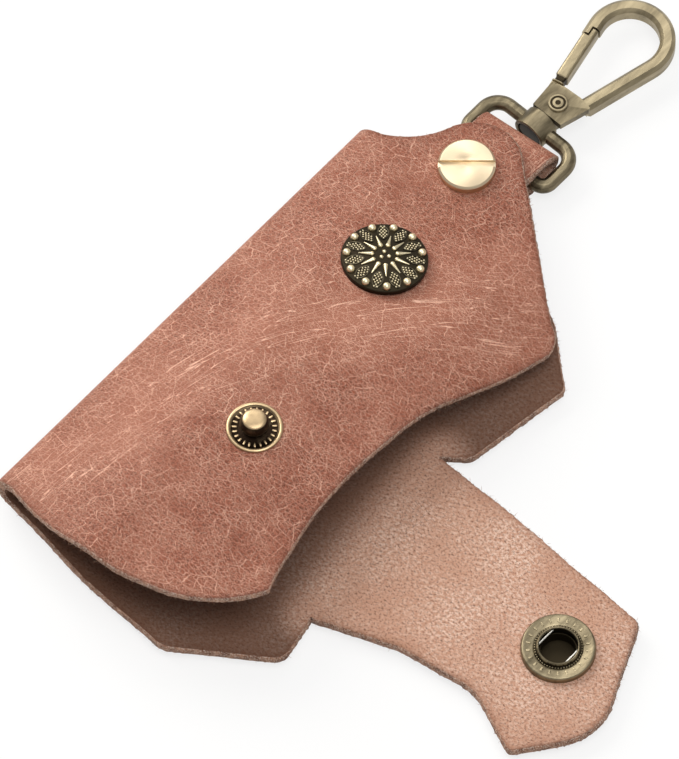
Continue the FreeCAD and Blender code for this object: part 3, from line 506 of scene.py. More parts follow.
@dataclass
class HideSheet:
    """A cut piece of hide: grain face, suede face and a raw edge all round."""

    name: str
    finishes: Finishes
    thick: float = 2.0
    grid: float = 0.9
    inset: float = 0.22
    waver: float = 0.05
    ragged: float = 0.06
    # Waves of the cut edge: how fast each runs along the rim and where it starts.
    waves: tuple = ((0.13, 0.0), (0.21, 1.0), (0.06, 2.0))
    # Rings of the cut wall: share of the depth, and how far each stands out.
    wall_rings: tuple = ((0.2, 0.0), (0.5, 0.06), (0.8, 0.0))
    pared: float = 0.0
    pared_from: float = 14.0
    pared_run: float = 6.0
    pared_fade: float = 3.0
    rim_fade: float = 1.1
    # Painted shade on the suede inside the pocket: its strength, and the run over which it fades in away from
    # the seam.
    painted_pocket_shade: float = 0.0
    pocket_shade_run: float = 8.0
    # Loose fibres: lean, shortest, what the longest adds, half width and stray depth.
    fibre_lean: float = 0.6
    fibre_short: float = 0.12
    fibre_long: float = 0.75
    fibre_half: float = 0.06
    fibre_stray: float = 0.15
    # Inner points keep this share of the grid clear of the edges.
    clear_share: float = 0.55
    hole: np.ndarray = field(default_factory=lambda: np.empty((0, 2)))

    def thickness(self, points: np.ndarray, gap: np.ndarray) -> np.ndarray:
        """Thickness of the hide at blank points, pared down towards the front's cut edge."""
        pared_all = self.pared_from + self.pared_run
        near = np.exp(-gap / self.pared_fade) * smooth_step(points[:, 0], self.pared_from, pared_all)
        return self.thick - self.pared * near

    def fill(self, rim: np.ndarray) -> tuple[np.ndarray, list[list[int]]]:
        """Points and triangles that fill a closed outline, less the hole, on the flat blank."""
        low = rim.min(axis=0)
        high = rim.max(axis=0)
        rise = self.grid * math.sqrt(3.0) / 2.0
        rows = np.arange(low[1], high[1], rise)
        cols = np.arange(low[0], high[0], self.grid)
        half = self.grid / 2.0
        grid = np.array([(x + half * (row % 2), y) for row, y in enumerate(rows) for x in cols])
        edges = np.vstack((rim, self.hole))
        inside = self.within(grid, rim) & (self.to_rim(grid, edges) > self.clear_share * self.grid)
        inside &= ~self.within(grid, self.hole)
        points = np.vstack((edges, grid[inside]))
        loop = list(range(len(rim)))
        cut = delaunay_2d_cdt([Vector(p) for p in points], [], [loop], 1, 1e-6)
        places = np.array([tuple(p) for p in cut[0]])
        centres = np.array([places[list(f)].mean(axis=0) for f in cut[2]])
        kept = ~self.within(centres, self.hole)
        return places, [list(f) for f, keep in zip(cut[2], kept) if keep]

    def within(self, points: np.ndarray, rim: np.ndarray) -> np.ndarray:
        """Which points lie inside the outline."""
        inside = np.zeros(len(points), dtype=bool)
        for start, end in zip(rim, np.roll(rim, -1, axis=0)):
            crosses = (start[1] > points[:, 1]) != (end[1] > points[:, 1])
            if abs(end[1] - start[1]) > 1e-9:
                at = start[0] + (points[:, 1] - start[1]) * (end[0] - start[0]) / (end[1] - start[1])
                inside ^= crosses & (points[:, 0] < at)
        return inside

    def to_rim(self, points: np.ndarray, rim: np.ndarray) -> np.ndarray:
        """Distance of each point from the nearest point of the outline."""
        nearest = np.full(len(points), np.inf)
        for spot in rim:
            nearest = np.minimum(nearest, ((points - spot) ** 2).sum(axis=1))
        return np.sqrt(nearest)

    def build(self, rim: np.ndarray, seam: np.ndarray, place: Placer, wear: Wear) -> bpy.types.Object:
        """Make the sheet.

        Args:
            rim: Outline on the flat blank, anticlockwise.
            seam: Which outline points lie on a join and stay square.
            place: Function of blank points and depth that gives places in the part's frame.
            wear: Function of blank points that gives the named wear of each.

        Returns:
            The finished sheet.
        """
        count = len(rim)
        way, outward = self.edge_ways(rim, seam)
        ticks = np.arange(count)
        waver = self.waver * sum(np.sin(ticks * rate + start) for rate, start in self.waves)
        waver[seam | np.roll(seam, 1)] = 0.0
        rim = rim + outward * waver[:, None]
        chance = np.random.default_rng(count)
        points, triangles = self.fill(rim)
        total = len(points)
        edge_gap = self.to_rim(points, rim[~seam])
        face = points.copy()
        face[:count] -= outward * self.inset
        thin = self.thickness(rim, np.zeros(count))
        places = [place(face, np.zeros(total)), place(face, self.thickness(face, edge_gap))]
        blank = [face, face]
        for share, out in self.wall_rings:
            ring = rim + outward * (out + self.ragged * chance.normal(size=count))[:, None]
            places.append(place(ring, share * thin))
            blank.append(ring)
        faces = [tuple(f) for f in triangles]
        kinds = [HideFace.GRAIN] * len(faces)
        faces += [tuple(total + i for i in reversed(f)) for f in triangles]
        kinds += [HideFace.SUEDE] * len(triangles)
        rings = len(self.wall_rings)
        starts = [0] + [2 * total + index * count for index in range(rings)] + [total]
        for upper, lower in zip(starts, starts[1:]):
            for index in range(count):
                after = (index + 1) % count
                if seam[index]:
                    continue
                faces.append((upper + index, lower + index, lower + after, upper + after))
                kinds.append(HideFace.EDGE)
        wall = len(self.hole)
        for index in range(wall):
            here = count + index
            after = count + (index + 1) % wall
            faces.append((here, after, total + after, total + here))
            kinds.append(HideFace.EDGE)
        strands, depths = self.fibres(rim[~seam], way[~seam], outward[~seam], thin[~seam], chance)
        first = 2 * total + rings * count
        places.append(place(strands, depths))
        blank.append(strands)
        faces += [(index, index + 1, index + 2) for index in range(first, first + len(strands), 3)]
        kinds += [HideFace.EDGE] * (len(strands) // 3)
        mesh = bpy.data.meshes.new(self.name)
        mesh.from_pydata((np.vstack(places) * MM).tolist(), [], faces)
        flat = np.vstack(blank)
        gaps = np.concatenate((edge_gap, edge_gap, np.zeros(len(flat) - 2 * total)))
        # Painted shade inside the pocket, none at the seam with the flap.
        lined = np.full(len(flat), self.painted_pocket_shade)
        if seam.any():
            lined *= smooth_step(self.to_rim(flat, rim[seam]), 0.0, self.pocket_shade_run)
        self.mark(mesh, flat, {"rim": np.exp(-gaps / self.rim_fade), "painted_pocket_shade": lined, **wear(flat)})
        mesh.polygons.foreach_set("material_index", [kind.value for kind in kinds])
        mesh.polygons.foreach_set("use_smooth", [True] * len(faces))
        for material in (self.finishes.grain, self.finishes.suede, self.finishes.edge):
            mesh.materials.append(material)
        mesh.update()
        sheet = bpy.data.objects.new(self.name, mesh)
        bpy.context.scene.collection.objects.link(sheet)
        return sheet

    def edge_ways(self, rim: np.ndarray, seam: np.ndarray) -> tuple[np.ndarray, np.ndarray]:
        """Directions along and out of the edge. A seam keeps still, and its ends follow the free edge."""
        after = np.roll(rim, -1, axis=0)
        before = np.roll(rim, 1, axis=0)
        closed = np.roll(seam, 1)
        after[seam & ~closed] = rim[seam & ~closed]
        before[closed & ~seam] = rim[closed & ~seam]
        way = after - before
        way /= np.linalg.norm(way, axis=1)[:, None]
        outward = np.stack((way[:, 1], -way[:, 0]), axis=1)
        outward[seam & closed] = 0.0
        return way, outward

    def fibres(
        self,
        rim: np.ndarray,
        way: np.ndarray,
        outward: np.ndarray,
        thin: np.ndarray,
        chance: np.random.Generator,
    ) -> tuple[np.ndarray, np.ndarray]:
        """Loose fibres that stand out of the cut edge.

        Args:
            rim: Points of the edge on the flat blank.
            way: Direction along the edge at each.
            outward: Direction out of the edge at each.
            thin: Thickness of the hide at each.
            chance: Source of the random draws.

        Returns:
            Blank places and depths of the fibres, three points each.
        """
        count = len(rim)
        lean = chance.normal(0.0, self.fibre_lean, count)
        long = self.fibre_short + self.fibre_long * chance.random(count) ** 3
        deep = thin * chance.uniform(0.4, 1.0, count)
        tip = rim + (outward + way * lean[:, None]) * long[:, None]
        strands = np.stack((rim - self.fibre_half * way, rim + self.fibre_half * way, tip), axis=1)
        depths = np.stack((deep, deep, deep + chance.normal(0.0, self.fibre_stray, count)), axis=1)
        return strands.reshape(-1, 2), depths.ravel()

    def mark(self, mesh: bpy.types.Mesh, flat: np.ndarray, values: dict[str, np.ndarray]) -> None:
        """Keep the flat blank's coordinates and the named wear of each point on the mesh."""
        layer = mesh.uv_layers.new(name="blank")
        corners = np.empty(len(mesh.loops), dtype=np.int32)
        mesh.loops.foreach_get("vertex_index", corners)
        layer.data.foreach_set("uv", (flat[corners] / BLANK_UNIT).ravel())
        for name, numbers in values.items():
            mesh.attributes.new(name, "FLOAT", "POINT").data.foreach_set("value", numbers)


@dataclass
class FoldedForm:
    """Shape of the folded hide: flat back, round spine and arched front."""

    under: float = 1.2
    spine: float = -20.6
    fold_radius: float = 3.6
    fold_run: float = 10.0
    crest_round: float = 10.0
    flat_top: float = 8.8
    full_rise: float = 7.2
    # Along the pattern: place, share of the full rise, level place from the spine, fall at the right.
    knots: tuple = ((-9.0, 1.0, 26.0, 0.8), (18.0, 1.0, 22.0, 0.8), (48.0, 1.0, 19.0, 3.0),
                    (65.0, 0.86, 16.5, 5.5), (84.0, 0.36, 13.0, 5.0), (94.9, 0.0, 11.5, 1.5),
                    (112.4, 0.0, 11.5, 1.5))
    fall_start: float = 19.4
    fall_run: float = 22.0
    ease: float = 3.0
    # Seats of the hardware: place and reach. The hide is still near each and free beyond.
    seats: tuple = ((10.0, -67.7, 8.0), (3.4, -25.9, 10.5), (0.0, 0.0, 9.0))
    seat_still: float = 0.7
    seat_free: float = 1.6
    still_run: float = 8.0
    # Slow waves of the hide: rates along x and y, start and height.
    waves: tuple = ((0.19, 0.11, 0.6, 1.0), (0.13, -0.21, 2.1, 1.0), (0.34, 0.05, 0.0, 0.6))
    sway: float = 0.22

    @property
    def centre_x(self) -> float:
        """Axis of the fold across the case."""
        return self.spine + self.fold_radius

    @property
    def centre_z(self) -> float:
        """Height of the fold's axis."""
        return self.under + self.fold_radius

    def profile(self, y: np.ndarray) -> tuple[np.ndarray, np.ndarray, np.ndarray, np.ndarray]:
        """Crest height, level place, right-edge fall and slope angle of the rise at each y."""
        table = np.array(self.knots)
        along = table[:, 0] - SCREW_ON_PATTERN[1]
        spread = np.linspace(-self.ease, self.ease, 7)
        eased = [np.mean([np.interp(y + d, along, column) for d in spread], axis=0) for column in table.T[1:]]
        crest = self.flat_top + self.full_rise * eased[0]
        level = eased[1] + self.spine
        across = level - self.centre_x
        up = crest - self.centre_z
        rise = np.arccos(self.fold_radius / np.hypot(across, up)) - np.arctan2(across, up)
        return crest, level, eased[2], rise

    def leave_x(self, rise: np.ndarray) -> np.ndarray:
        """Where the front leaves the fold."""
        return self.centre_x - self.fold_radius * np.sin(rise)

    def height(self, x: np.ndarray, y: np.ndarray) -> np.ndarray:
        """Height of the front's grain face."""
        crest, level, fall, rise = self.profile(y)
        half = self.crest_round * np.tan(rise / 2.0)
        slope = np.tan(rise)
        share = np.clip((x - level + half) / (2.0 * half), 0.0, 1.0)
        line = np.minimum(x - level + half, 0.0) * slope
        z = crest + line - slope * half * (1.0 - share) ** 2
        beyond = x - self.fall_start
        soft = np.clip((beyond + self.ease) / (2.0 * self.ease), 0.0, 1.0)
        z = z - fall / self.fall_run * (np.maximum(beyond - self.ease, 0.0) + self.ease * soft ** 2)
        return z + self.sag(x, y, self.leave_x(rise))

    def sag(self, x: np.ndarray, y: np.ndarray, leave: np.ndarray) -> np.ndarray:
        """Slow unevenness of the hide, still at the fold and under the hardware."""
        wave = sum(tall * np.sin(by_x * x + by_y * y + start) for by_x, by_y, start, tall in self.waves)
        still = smooth_step(x - leave, 0.0, self.still_run)
        for seat_x, seat_y, reach in self.seats:
            gap = np.hypot(x - seat_x, y - seat_y)
            still = still * smooth_step(gap, self.seat_still * reach, self.seat_free * reach)
        return self.sway * wave * still

    def to_blank(self, points: np.ndarray, front: bool) -> np.ndarray:
        """Blank coordinates of plan points on the front or the back."""
        if not front:
            return np.stack((self.centre_x - points[:, 0], points[:, 1]), axis=1)
        leave = self.leave_x(self.profile(points[:, 1])[3])
        return np.stack((self.fold_run + points[:, 0] - leave, points[:, 1]), axis=1)

    def place(self, blank: np.ndarray, depth: np.ndarray) -> np.ndarray:
        """Places of blank points at a depth below the grain face."""
        run, y = blank[:, 0], blank[:, 1]
        rise = self.profile(y)[3]
        back = np.stack((self.centre_x - run, y, self.under + depth), axis=1)
        turn = 1.5 * math.pi - np.clip(run / self.fold_run, 0.0, 1.0) * (math.pi - rise)
        radius = self.fold_radius - depth
        fold = np.stack(
            (self.centre_x + radius * np.cos(turn), y, self.centre_z + radius * np.sin(turn)), axis=1
        )
        x = self.leave_x(rise) + run - self.fold_run
        reach = 0.05
        z = self.height(x, y)
        tilt_x = (self.height(x + reach, y) - self.height(x - reach, y)) / (2.0 * reach)
        tilt_y = (self.height(x, y + reach) - self.height(x, y - reach)) / (2.0 * reach)
        normal = np.stack((-tilt_x, -tilt_y, np.ones_like(z)), axis=1)
        normal /= np.linalg.norm(normal, axis=1)[:, None]
        front = np.stack((x, y, z), axis=1) - normal * depth[:, None]
        on_back = (run < 0.0)[:, None]
        on_front = (run > self.fold_run)[:, None]
        return np.where(on_back, back, np.where(on_front, front, fold))


@dataclass
class ClosingLine:
    """Line from the stud to the open flap's socket, with the two folds square to it."""

    stud: np.ndarray = field(default_factory=lambda: on_pattern(30.6, 32.7))
    socket: np.ndarray = field(default_factory=lambda: on_pattern(96.0, 40.6))
    fold_one: float = 26.393
    fold_two: float = 42.233
    hinge_height: float = 3.2

    def at(self, along: float, aside: float) -> np.ndarray:
        """A point along the line from the stud and to its left."""
        way = (self.socket - self.stud) / self.reach
        return self.stud + way * along + np.array((-way[1], way[0])) * aside

    @property
    def reach(self) -> float:
        """Distance from stud to socket."""
        return float(np.linalg.norm(self.socket - self.stud))

    @property
    def middle(self) -> float:
        """Halfway between the folds."""
        return (self.fold_one + self.fold_two) / 2.0

    def spot(self, along: float) -> tuple[float, float, float]:
        """A place on the line in metres."""
        point = self.at(along, 0.0)
        return (point[0] * MM, point[1] * MM, self.hinge_height * MM)


@dataclass
class LeatherCase:
    """The folded wrap and its flap in two stretches."""

    finishes: Finishes
    form: FoldedForm = field(default_factory=FoldedForm)
    closing: ClosingLine = field(default_factory=ClosingLine)
    lobe: float = 10.2
    lobe_left: Point = (-8.2, 3.7)
    lobe_way: Point = (0.645, 0.764)
    # Top of the spine on the pattern, at the front and at the back.
    spine_top: Point = (95.3, 93.1)
    back_lobe: float = 4.25
    root: Point = (19.9, -20.0)
    fold: Point = (18.0, -15.9)
    # Corners of the flap's end: beyond the socket, to its left, and corner radius.
    tip: tuple = ((-8.0, -14.9, 14.0), (4.5, -22.0, 1.5), (15.9, -9.9, 11.0), (8.8, 12.9, 2.0))
    bend_run: float = 6.0
    socket_hole: float = 3.7
    hole_steps: int = 40
    # Course of the band that is flexed in use, and the steps and passes that ease it.
    band: tuple = ((-13.2, -100.0), (-12.4, -90.0), (-10.4, -77.6), (-5.3, -60.1), (3.1, -42.7),
                   (14.4, -28.5), (21.0, -22.0))
    band_wide: float = 9.0
    band_steps: int = 120
    band_ease: int = 8
    band_passes: int = 6
    fold_pull: float = 0.3
    fold_wide: float = 7.0

    def front_edge(self) -> np.ndarray:
        """Cut edge of the front in plan, from the spine's foot round to its top."""
        p = on_pattern
        edge = Outline()
        side = np.array(self.lobe_way) / math.hypot(*self.lobe_way) * self.lobe
        left = np.array(self.lobe_left)
        edge.line(p(2.2, -2.2), p(4.0, -2.2))
        edge.arc(p(4.0, -2.2), p(22.0, -5.5), p(40.0, -2.8))
        edge.arc(p(40.0, -2.8), p(49.2, 3.0), p(54.4, 10.3))
        edge.arc(p(54.4, 10.3), p(49.2, 36.0), p(51.5, 60.0))
        edge.arc(p(51.5, 60.0), p(54.4, 70.0), p(56.3, 80.5))
        edge.arc(p(56.3, 80.5), p(55.8, 84.6), p(52.9, 87.0))
        edge.line(p(52.9, 87.0), side)
        edge.arc(side, np.array((-1.0, self.lobe)), left)
        edge.arc(left, p(8.0, 98.3), p(4.4, self.spine_top[0] + 0.5))
        edge.line(p(4.4, self.spine_top[0] + 0.5), p(2.8, self.spine_top[0]))
        return edge.array()

    def back_edge(self) -> tuple[np.ndarray, np.ndarray]:
        """Cut edge of the back in plan, from the spine's top round to its foot, and its seam."""
        p = on_pattern
        edge = Outline()
        left = np.array((-1.0, 0.0)) * self.back_lobe
        right = np.array((0.6, 0.8)) * self.back_lobe
        edge.corners([(p(3.6, self.spine_top[1]), 0.0), (p(4.0, self.spine_top[1]), 0.0), (left, 0.0)])
        edge.arc(left, np.array((0.0, self.back_lobe)), right)
        upper = self.closing.at(self.closing.fold_one, self.root[0])
        lower = self.closing.at(self.closing.fold_one, self.root[1])
        corners = [(right, 0.0), (p(51.5, 89.5), 4.0), (p(61.8, 80.8), 2.0), (p(58.9, 59.0), 3.0),
                   (upper, 0.0), (lower, 0.0), (p(61.2, 6.5), 3.0), (p(43.0, -6.0), 5.0),
                   (p(24.0, -5.2), 12.0), (p(4.0, -2.2), 0.0), (p(3.6, -2.2), 0.0)]
        edge.corners(corners, seams=(4,))
        return edge.array(), np.array(edge.seam)

    def flexed(self, flat: np.ndarray) -> tuple[np.ndarray, np.ndarray]:
        """Places along and across the flexed band of each blank point."""
        course = self.form.to_blank(np.array(self.band), True)
        knots = np.linspace(0.0, 1.0, len(course))
        fine = np.linspace(0.0, 1.0, self.band_steps)
        course = np.stack([np.interp(fine, knots, column) for column in course.T], axis=1)
        ease = self.band_ease
        inner = self.band_steps - ease
        for _ in range(self.band_passes):
            course[ease:inner] = np.mean([course[ease + d:inner + d] for d in range(-ease, ease + 1)], axis=0)
        way = np.gradient(course, axis=0)
        way /= np.linalg.norm(way, axis=1)[:, None]
        run = np.concatenate(((0.0,), np.cumsum(np.linalg.norm(np.diff(course, axis=0), axis=1))))
        nearest = np.argmin([((flat - spot) ** 2).sum(axis=1) for spot in course], axis=0)
        gap = flat - course[nearest]
        along = run[nearest] + (gap * way[nearest]).sum(axis=1)
        across = gap[:, 0] * way[nearest, 1] - gap[:, 1] * way[nearest, 0]
        return along, across

    def wear(self, flat: np.ndarray) -> dict[str, np.ndarray]:
        """How far the grain was drawn at each blank point, and its place in the flexed band."""
        along, across = self.flexed(flat)
        drawn = self.fold_pull * np.exp(-(((flat[:, 0] - self.form.fold_run) / self.fold_wide) ** 2))
        drawn = np.maximum(drawn, np.exp(-((across / self.band_wide) ** 2)))
        return {"pull": drawn, "band_along": along, "band_across": across}

    def wrap(self) -> bpy.types.Object:
        """Back, spine and front as one sheet."""
        front = self.form.to_blank(self.front_edge(), True)
        edge, seam = self.back_edge()
        back = self.form.to_blank(edge, False)
        top = Outline()
        top.line(front[-1], back[0])
        foot = Outline()
        foot.line(back[-1], front[0])
        rim = np.vstack((front, top.array()[1:], back, foot.array()[1:]))
        loose = [np.zeros(len(part), dtype=bool) for part in (front, top.points[1:], foot.points[1:])]
        marks = np.concatenate((loose[0], loose[1], seam, loose[2]))
        # The wrap's suede inside the pocket gets painted shade.
        sheet = HideSheet("leather_wrap_hide", self.finishes, pared=0.5, painted_pocket_shade=0.75)
        piece = sheet.build(rim, marks, self.form.place, self.wear)
        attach(piece, Body.CASE.value)
        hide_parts("leather_wrap")
        return piece

    def hole_edge(self) -> np.ndarray:
        """Edge of the hole under the socket, in plan."""
        angles = np.linspace(0.0, math.tau, self.hole_steps, endpoint=False)
        return self.closing.socket + self.socket_hole * np.stack((np.cos(angles), np.sin(angles)), axis=1)

    def flap(self) -> list[bpy.types.Object]:
        """The flap's root and leaf, cut flat and joined halfway between the folds."""
        line = self.closing
        mid_upper = (self.root[0] + self.fold[0]) / 2.0
        mid_lower = (self.root[1] + self.fold[1]) / 2.0
        root = [(line.at(line.fold_one, self.root[1]), 0.0), (line.at(line.fold_one, self.root[0]), 0.0),
                (line.at(line.middle, mid_upper), 0.0), (line.at(line.middle, mid_lower), 0.0),
                (line.at(line.fold_one, self.root[1]), 0.0)]
        leaf = [(line.at(line.middle, mid_lower), 0.0), (line.at(line.middle, mid_upper), 0.0),
                (line.at(line.fold_two, self.fold[0]), 0.0)]
        for beyond, aside, radius in reversed(self.tip):
            leaf.append((line.at(line.reach + beyond, aside), radius))
        leaf += [(line.at(line.fold_two, self.fold[1]), 0.0), (line.at(line.middle, mid_lower), 0.0)]
        pieces = []
        for name, corners, seams in (("flap_root_hide", root, (0, 2)), ("flap_leaf_hide", leaf, (0,))):
            edge = Outline()
            edge.corners(corners, seams)
            rim = self.form.to_blank(edge.array(), False)
            sheet = HideSheet(name, self.finishes)
            if name == "flap_leaf_hide":
                sheet.hole = self.form.to_blank(self.hole_edge(), False)
            pieces.append(sheet.build(rim, np.array(edge.seam), self.form.place, self.wear))
        half = self.bend_run / 2.0
        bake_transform(pieces[0], Body.CASE.value, Body.FLAP_SIDE.value,
                 start=line.spot(line.fold_one), end=line.spot(line.fold_one + self.bend_run))
        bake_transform(pieces[1], Body.FLAP_SIDE.value, Body.FLAP_END.value,
                 start=line.spot(line.fold_two - half), end=line.spot(line.fold_two + half))
        for piece, node in zip(pieces, ("flap_gusset", "closure_flap")):
            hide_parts(node)
        return pieces


@dataclass
class HangerStrap:
    """Strap folded round the ring's bar, both ends clamped under the screw."""

    finishes: Finishes
    middle: float = 5.0
    thick: float = 1.8
    left: float = -6.45
    right: float = 9.1
    tail: float = -8.0
    drop_start: float = 4.35
    drop_run: float = 1.73
    drop: float = 3.0
    bar_end: float = 10.7
    # The bent end leans: slope of its lean across, and where along the strap it sets in.
    askew: float = 0.1
    askew_run: Point = (3.0, 9.0)
    pull: float = 0.7

    def path(self) -> np.ndarray:
        """Grain face of the strap in the (y, height) plane, from the upper tail to the lower."""
        low = -self.thick - self.drop
        level = -self.drop / 2.0
        tip = self.bar_end + self.thick - level
        a = np.array
        course = Outline(step=0.25)
        course.line(a((self.tail, self.thick)), a((self.bar_end, self.thick)))
        course.arc(a((self.bar_end, self.thick)), a((tip, level)), a((self.bar_end, low)))
        course.corners([(a((self.bar_end, low)), 0.0), (a((self.drop_start + self.drop_run, low)), 1.0),
                        (a((self.drop_start, -self.thick)), 1.5), (a((self.tail, -self.thick)), 0.0)])
        return course.array()

    def wear(self, flat: np.ndarray) -> dict[str, np.ndarray]:
        """The strap is drawn evenly all over, and its creases run along it."""
        return {"pull": np.full(len(flat), self.pull), "band_along": flat[:, 1], "band_across": flat[:, 0]}

    def build(self) -> bpy.types.Object:
        """Bend a flat strip round the path."""
        path = self.path()
        gaps = np.linalg.norm(np.diff(path, axis=0), axis=1)
        run = np.concatenate(((0.0,), np.cumsum(gaps)))
        way = np.gradient(path, axis=0)
        way /= np.linalg.norm(way, axis=1)[:, None]

        def place(blank: np.ndarray, depth: np.ndarray) -> np.ndarray:
            """Places of blank points at a depth below the bent strip's grain face."""
            along = np.clip(blank[:, 1], 0.0, run[-1])
            y, z, way_y, way_z = (np.interp(along, run, column) for column in (*path.T, *way.T))
            x = self.left + blank[:, 0]
            lean = self.askew * (x - (self.left + self.right) / 2.0) * smooth_step(y, *self.askew_run)
            y = y + way_z * depth + lean
            return np.stack((x, y, self.middle + z - way_y * depth), axis=1)

        wide = self.right - self.left
        edge = Outline(step=0.6)
        a = np.array
        edge.corners([(a((0.0, 0.0)), 0.0), (a((0.0, run[-1])), 0.0), (a((wide, run[-1])), 0.0),
                      (a((wide, 0.0)), 0.0), (a((0.0, 0.0)), 0.0)])
        rim = edge.array()[::-1]
        sheet = HideSheet("hanger_strap_hide", self.finishes, thick=self.thick, grid=0.6, waver=0.05)
        piece = sheet.build(rim, np.zeros(len(rim), dtype=bool), place, self.wear)
        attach(piece, Body.CASE.value)
        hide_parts("hanger_strap")
        return piece


@dataclass
class Workshop:
    """Ways of making and finishing metal pieces."""

    weld: float = 0.001
    solid_weld: float = 0.002
    # Angles in degrees: faces of a solid that count as one, and edges that are shaded smooth.
    flat_angle: float = 1.0
    smooth_angle: float = 40.0

    def keep_place(self) -> None:
        """Put the turn, place and scale of the selected pieces into their meshes."""
        bpy.ops.object.transform_apply(location=True, rotation=True, scale=True)

    def fresh(self, name: str) -> bpy.types.Object:
        """Name the active object and put its turn, place and scale into its mesh."""
        piece = bpy.context.object
        piece.name = name
        piece.data.name = name
        self.keep_place()
        return piece

    @contextmanager
    def editing(self) -> Iterator[None]:
        """Edit the active piece, with all its points selected at the start."""
        bpy.ops.object.mode_set(mode="EDIT")
        bpy.ops.mesh.select_mode(type="VERT")
        bpy.ops.mesh.select_all(action="SELECT")
        yield
        bpy.ops.object.mode_set(mode="OBJECT")

    def smooth(self, angle: float) -> None:
        """Shade the active piece smooth, apart from edges sharper than an angle in degrees."""
        bpy.ops.object.shade_smooth_by_angle(angle=math.radians(angle))

    def pick(self, *pieces: bpy.types.Object) -> None:
        """Select only these pieces and make the first active."""
        bpy.ops.object.select_all(action="DESELECT")
        for piece in pieces:
            piece.select_set(True)
        bpy.context.view_layer.objects.active = pieces[0]

    def lathe(self, name: str, profile: list[Point], steps: int, angle: float = 0.0) -> bpy.types.Object:
        """Turn a profile round the Z axis.

        Args:
            name: Name of the piece.
            profile: Radius and height of each point, outward and up from the closed foot.
            steps: Number of points round the axis.
            angle: Edges up to this angle in degrees are shaded smooth. At 0 the piece is left flat.

        Returns:
            The turned piece.
        """
        bpy.ops.object.select_all(action="DESELECT")
        radius, height = profile[0]
        foot = (0.0, 0.0, height * MM)
        bpy.ops.mesh.primitive_circle_add(vertices=steps, radius=radius * MM, location=foot)
        with self.editing():
            for wide, high in profile[1:]:
                lift = (0.0, 0.0, (high - height) * MM)
                bpy.ops.mesh.extrude_region_move(TRANSFORM_OT_translate={"value": lift})
                if wide > 0.0:
                    share = wide / radius
                    bpy.ops.transform.resize(value=(share, share, 1.0), center_override=(0.0, 0.0, 0.0))
                    radius = wide
                else:
                    bpy.ops.mesh.merge(type="CENTER")
                height = high
            bpy.ops.mesh.select_all(action="SELECT")
            bpy.ops.mesh.remove_doubles(threshold=self.weld * MM)
            bpy.ops.mesh.select_all(action="DESELECT")
            bpy.ops.mesh.select_non_manifold()
            bpy.ops.mesh.edge_face_add()
            bpy.ops.mesh.select_all(action="SELECT")
            bpy.ops.mesh.normals_make_consistent(inside=False)
        piece = self.fresh(name)
        if angle > 0.0:
            self.smooth(angle)
        return piece

    def bead(
        self, radius: float, place: Point, height: float, flat: float = 1.0, steps: int = 14
    ) -> bpy.types.Object:
        """A round bead sunk to its middle at a height."""
        bpy.ops.object.select_all(action="DESELECT")
        bpy.ops.mesh.primitive_uv_sphere_add(
            segments=steps,
            ring_count=steps // 2,
            radius=radius * MM,
            location=(place[0] * MM, place[1] * MM, height * MM),
            scale=(1.0, 1.0, flat),
        )
        return self.fresh("bead")

    def bar(
        self, start: float, end: float, wide: float, low: float, high: float, bevel: float
    ) -> bpy.types.Object:
        """A bar along X between two radii, with its edges rounded."""
        bpy.ops.object.select_all(action="DESELECT")
        bpy.ops.mesh.primitive_cube_add(
            size=1.0,
            location=((start + end) / 2.0 * MM, 0.0, (low + high) / 2.0 * MM),
            scale=((end - start) * MM, wide * MM, (high - low) * MM),
        )
        piece = self.fresh("bar")
        self.soften(piece, bevel, segments=2)
        return piece

    def ring_of(self, piece: bpy.types.Object, count: int, start: float = 0.0) -> list[bpy.types.Object]:
        """Copies of a piece, each with its own mesh, spread evenly round the Z axis."""
        ring = []
        for index in range(count):
            copy = piece.copy()
            copy.data = piece.data.copy()
            copy.rotation_euler = (0.0, 0.0, start + math.tau * index / count)
            bpy.context.scene.collection.objects.link(copy)
            ring.append(copy)
        bpy.data.objects.remove(piece)
        self.pick(*ring)
        self.keep_place()
        return ring

    def join(self, name: str, pieces: list[bpy.types.Object]) -> bpy.types.Object:
        """Join pieces into one."""
        self.pick(*pieces)
        bpy.ops.object.join()
        return self.fresh(name)

    def apply(self, piece: bpy.types.Object, kind: str, **settings: object) -> None:
        """Add a modifier and apply it."""
        self.pick(piece)
        change = piece.modifiers.new(kind.lower(), kind)
        for name, value in settings.items():
            setattr(change, name, value)
        bpy.ops.object.modifier_apply(modifier=change.name)

    def soften(self, piece: bpy.types.Object, width: float, segments: int = 3, angle: float = 28.0) -> None:
        """Round the sharp edges and shade the piece smooth."""
        self.apply(piece, "BEVEL", width=width * MM, segments=segments, limit_method="ANGLE",
                   angle_limit=math.radians(angle), use_clamp_overlap=True)
        self.smooth(self.smooth_angle)

    def boolean(self, piece: bpy.types.Object, other: bpy.types.Object, operation: str) -> None:
        """Join, cut or intersect a piece with another, which is used up."""
        self.apply(piece, "BOOLEAN", object=other, operation=operation, solver="EXACT")
        bpy.data.objects.remove(other)

    def tarnish_and_shade(self, piece: bpy.types.Object, rule: Callable[[Vector], float]) -> None:
        """Set how dark each point of a piece is, by its place in millimetres: tarnish on some pieces, painted
        shade on others.
        """
        marks = piece.data.attributes.new("tarnish_and_shade", "FLOAT", "POINT")
        marks.data.foreach_set("value", [rule(vertex.co / MM) for vertex in piece.data.vertices])

    def settle(self, piece: bpy.types.Object, place: Place, tilt: float = 0.0, turn: float = 0.0) -> None:
        """Turn, tilt about X and move a finished piece to its seat."""
        self.pick(piece)
        piece.rotation_euler = (tilt, 0.0, turn)
        piece.location = Vector(place) * MM
        self.keep_place()

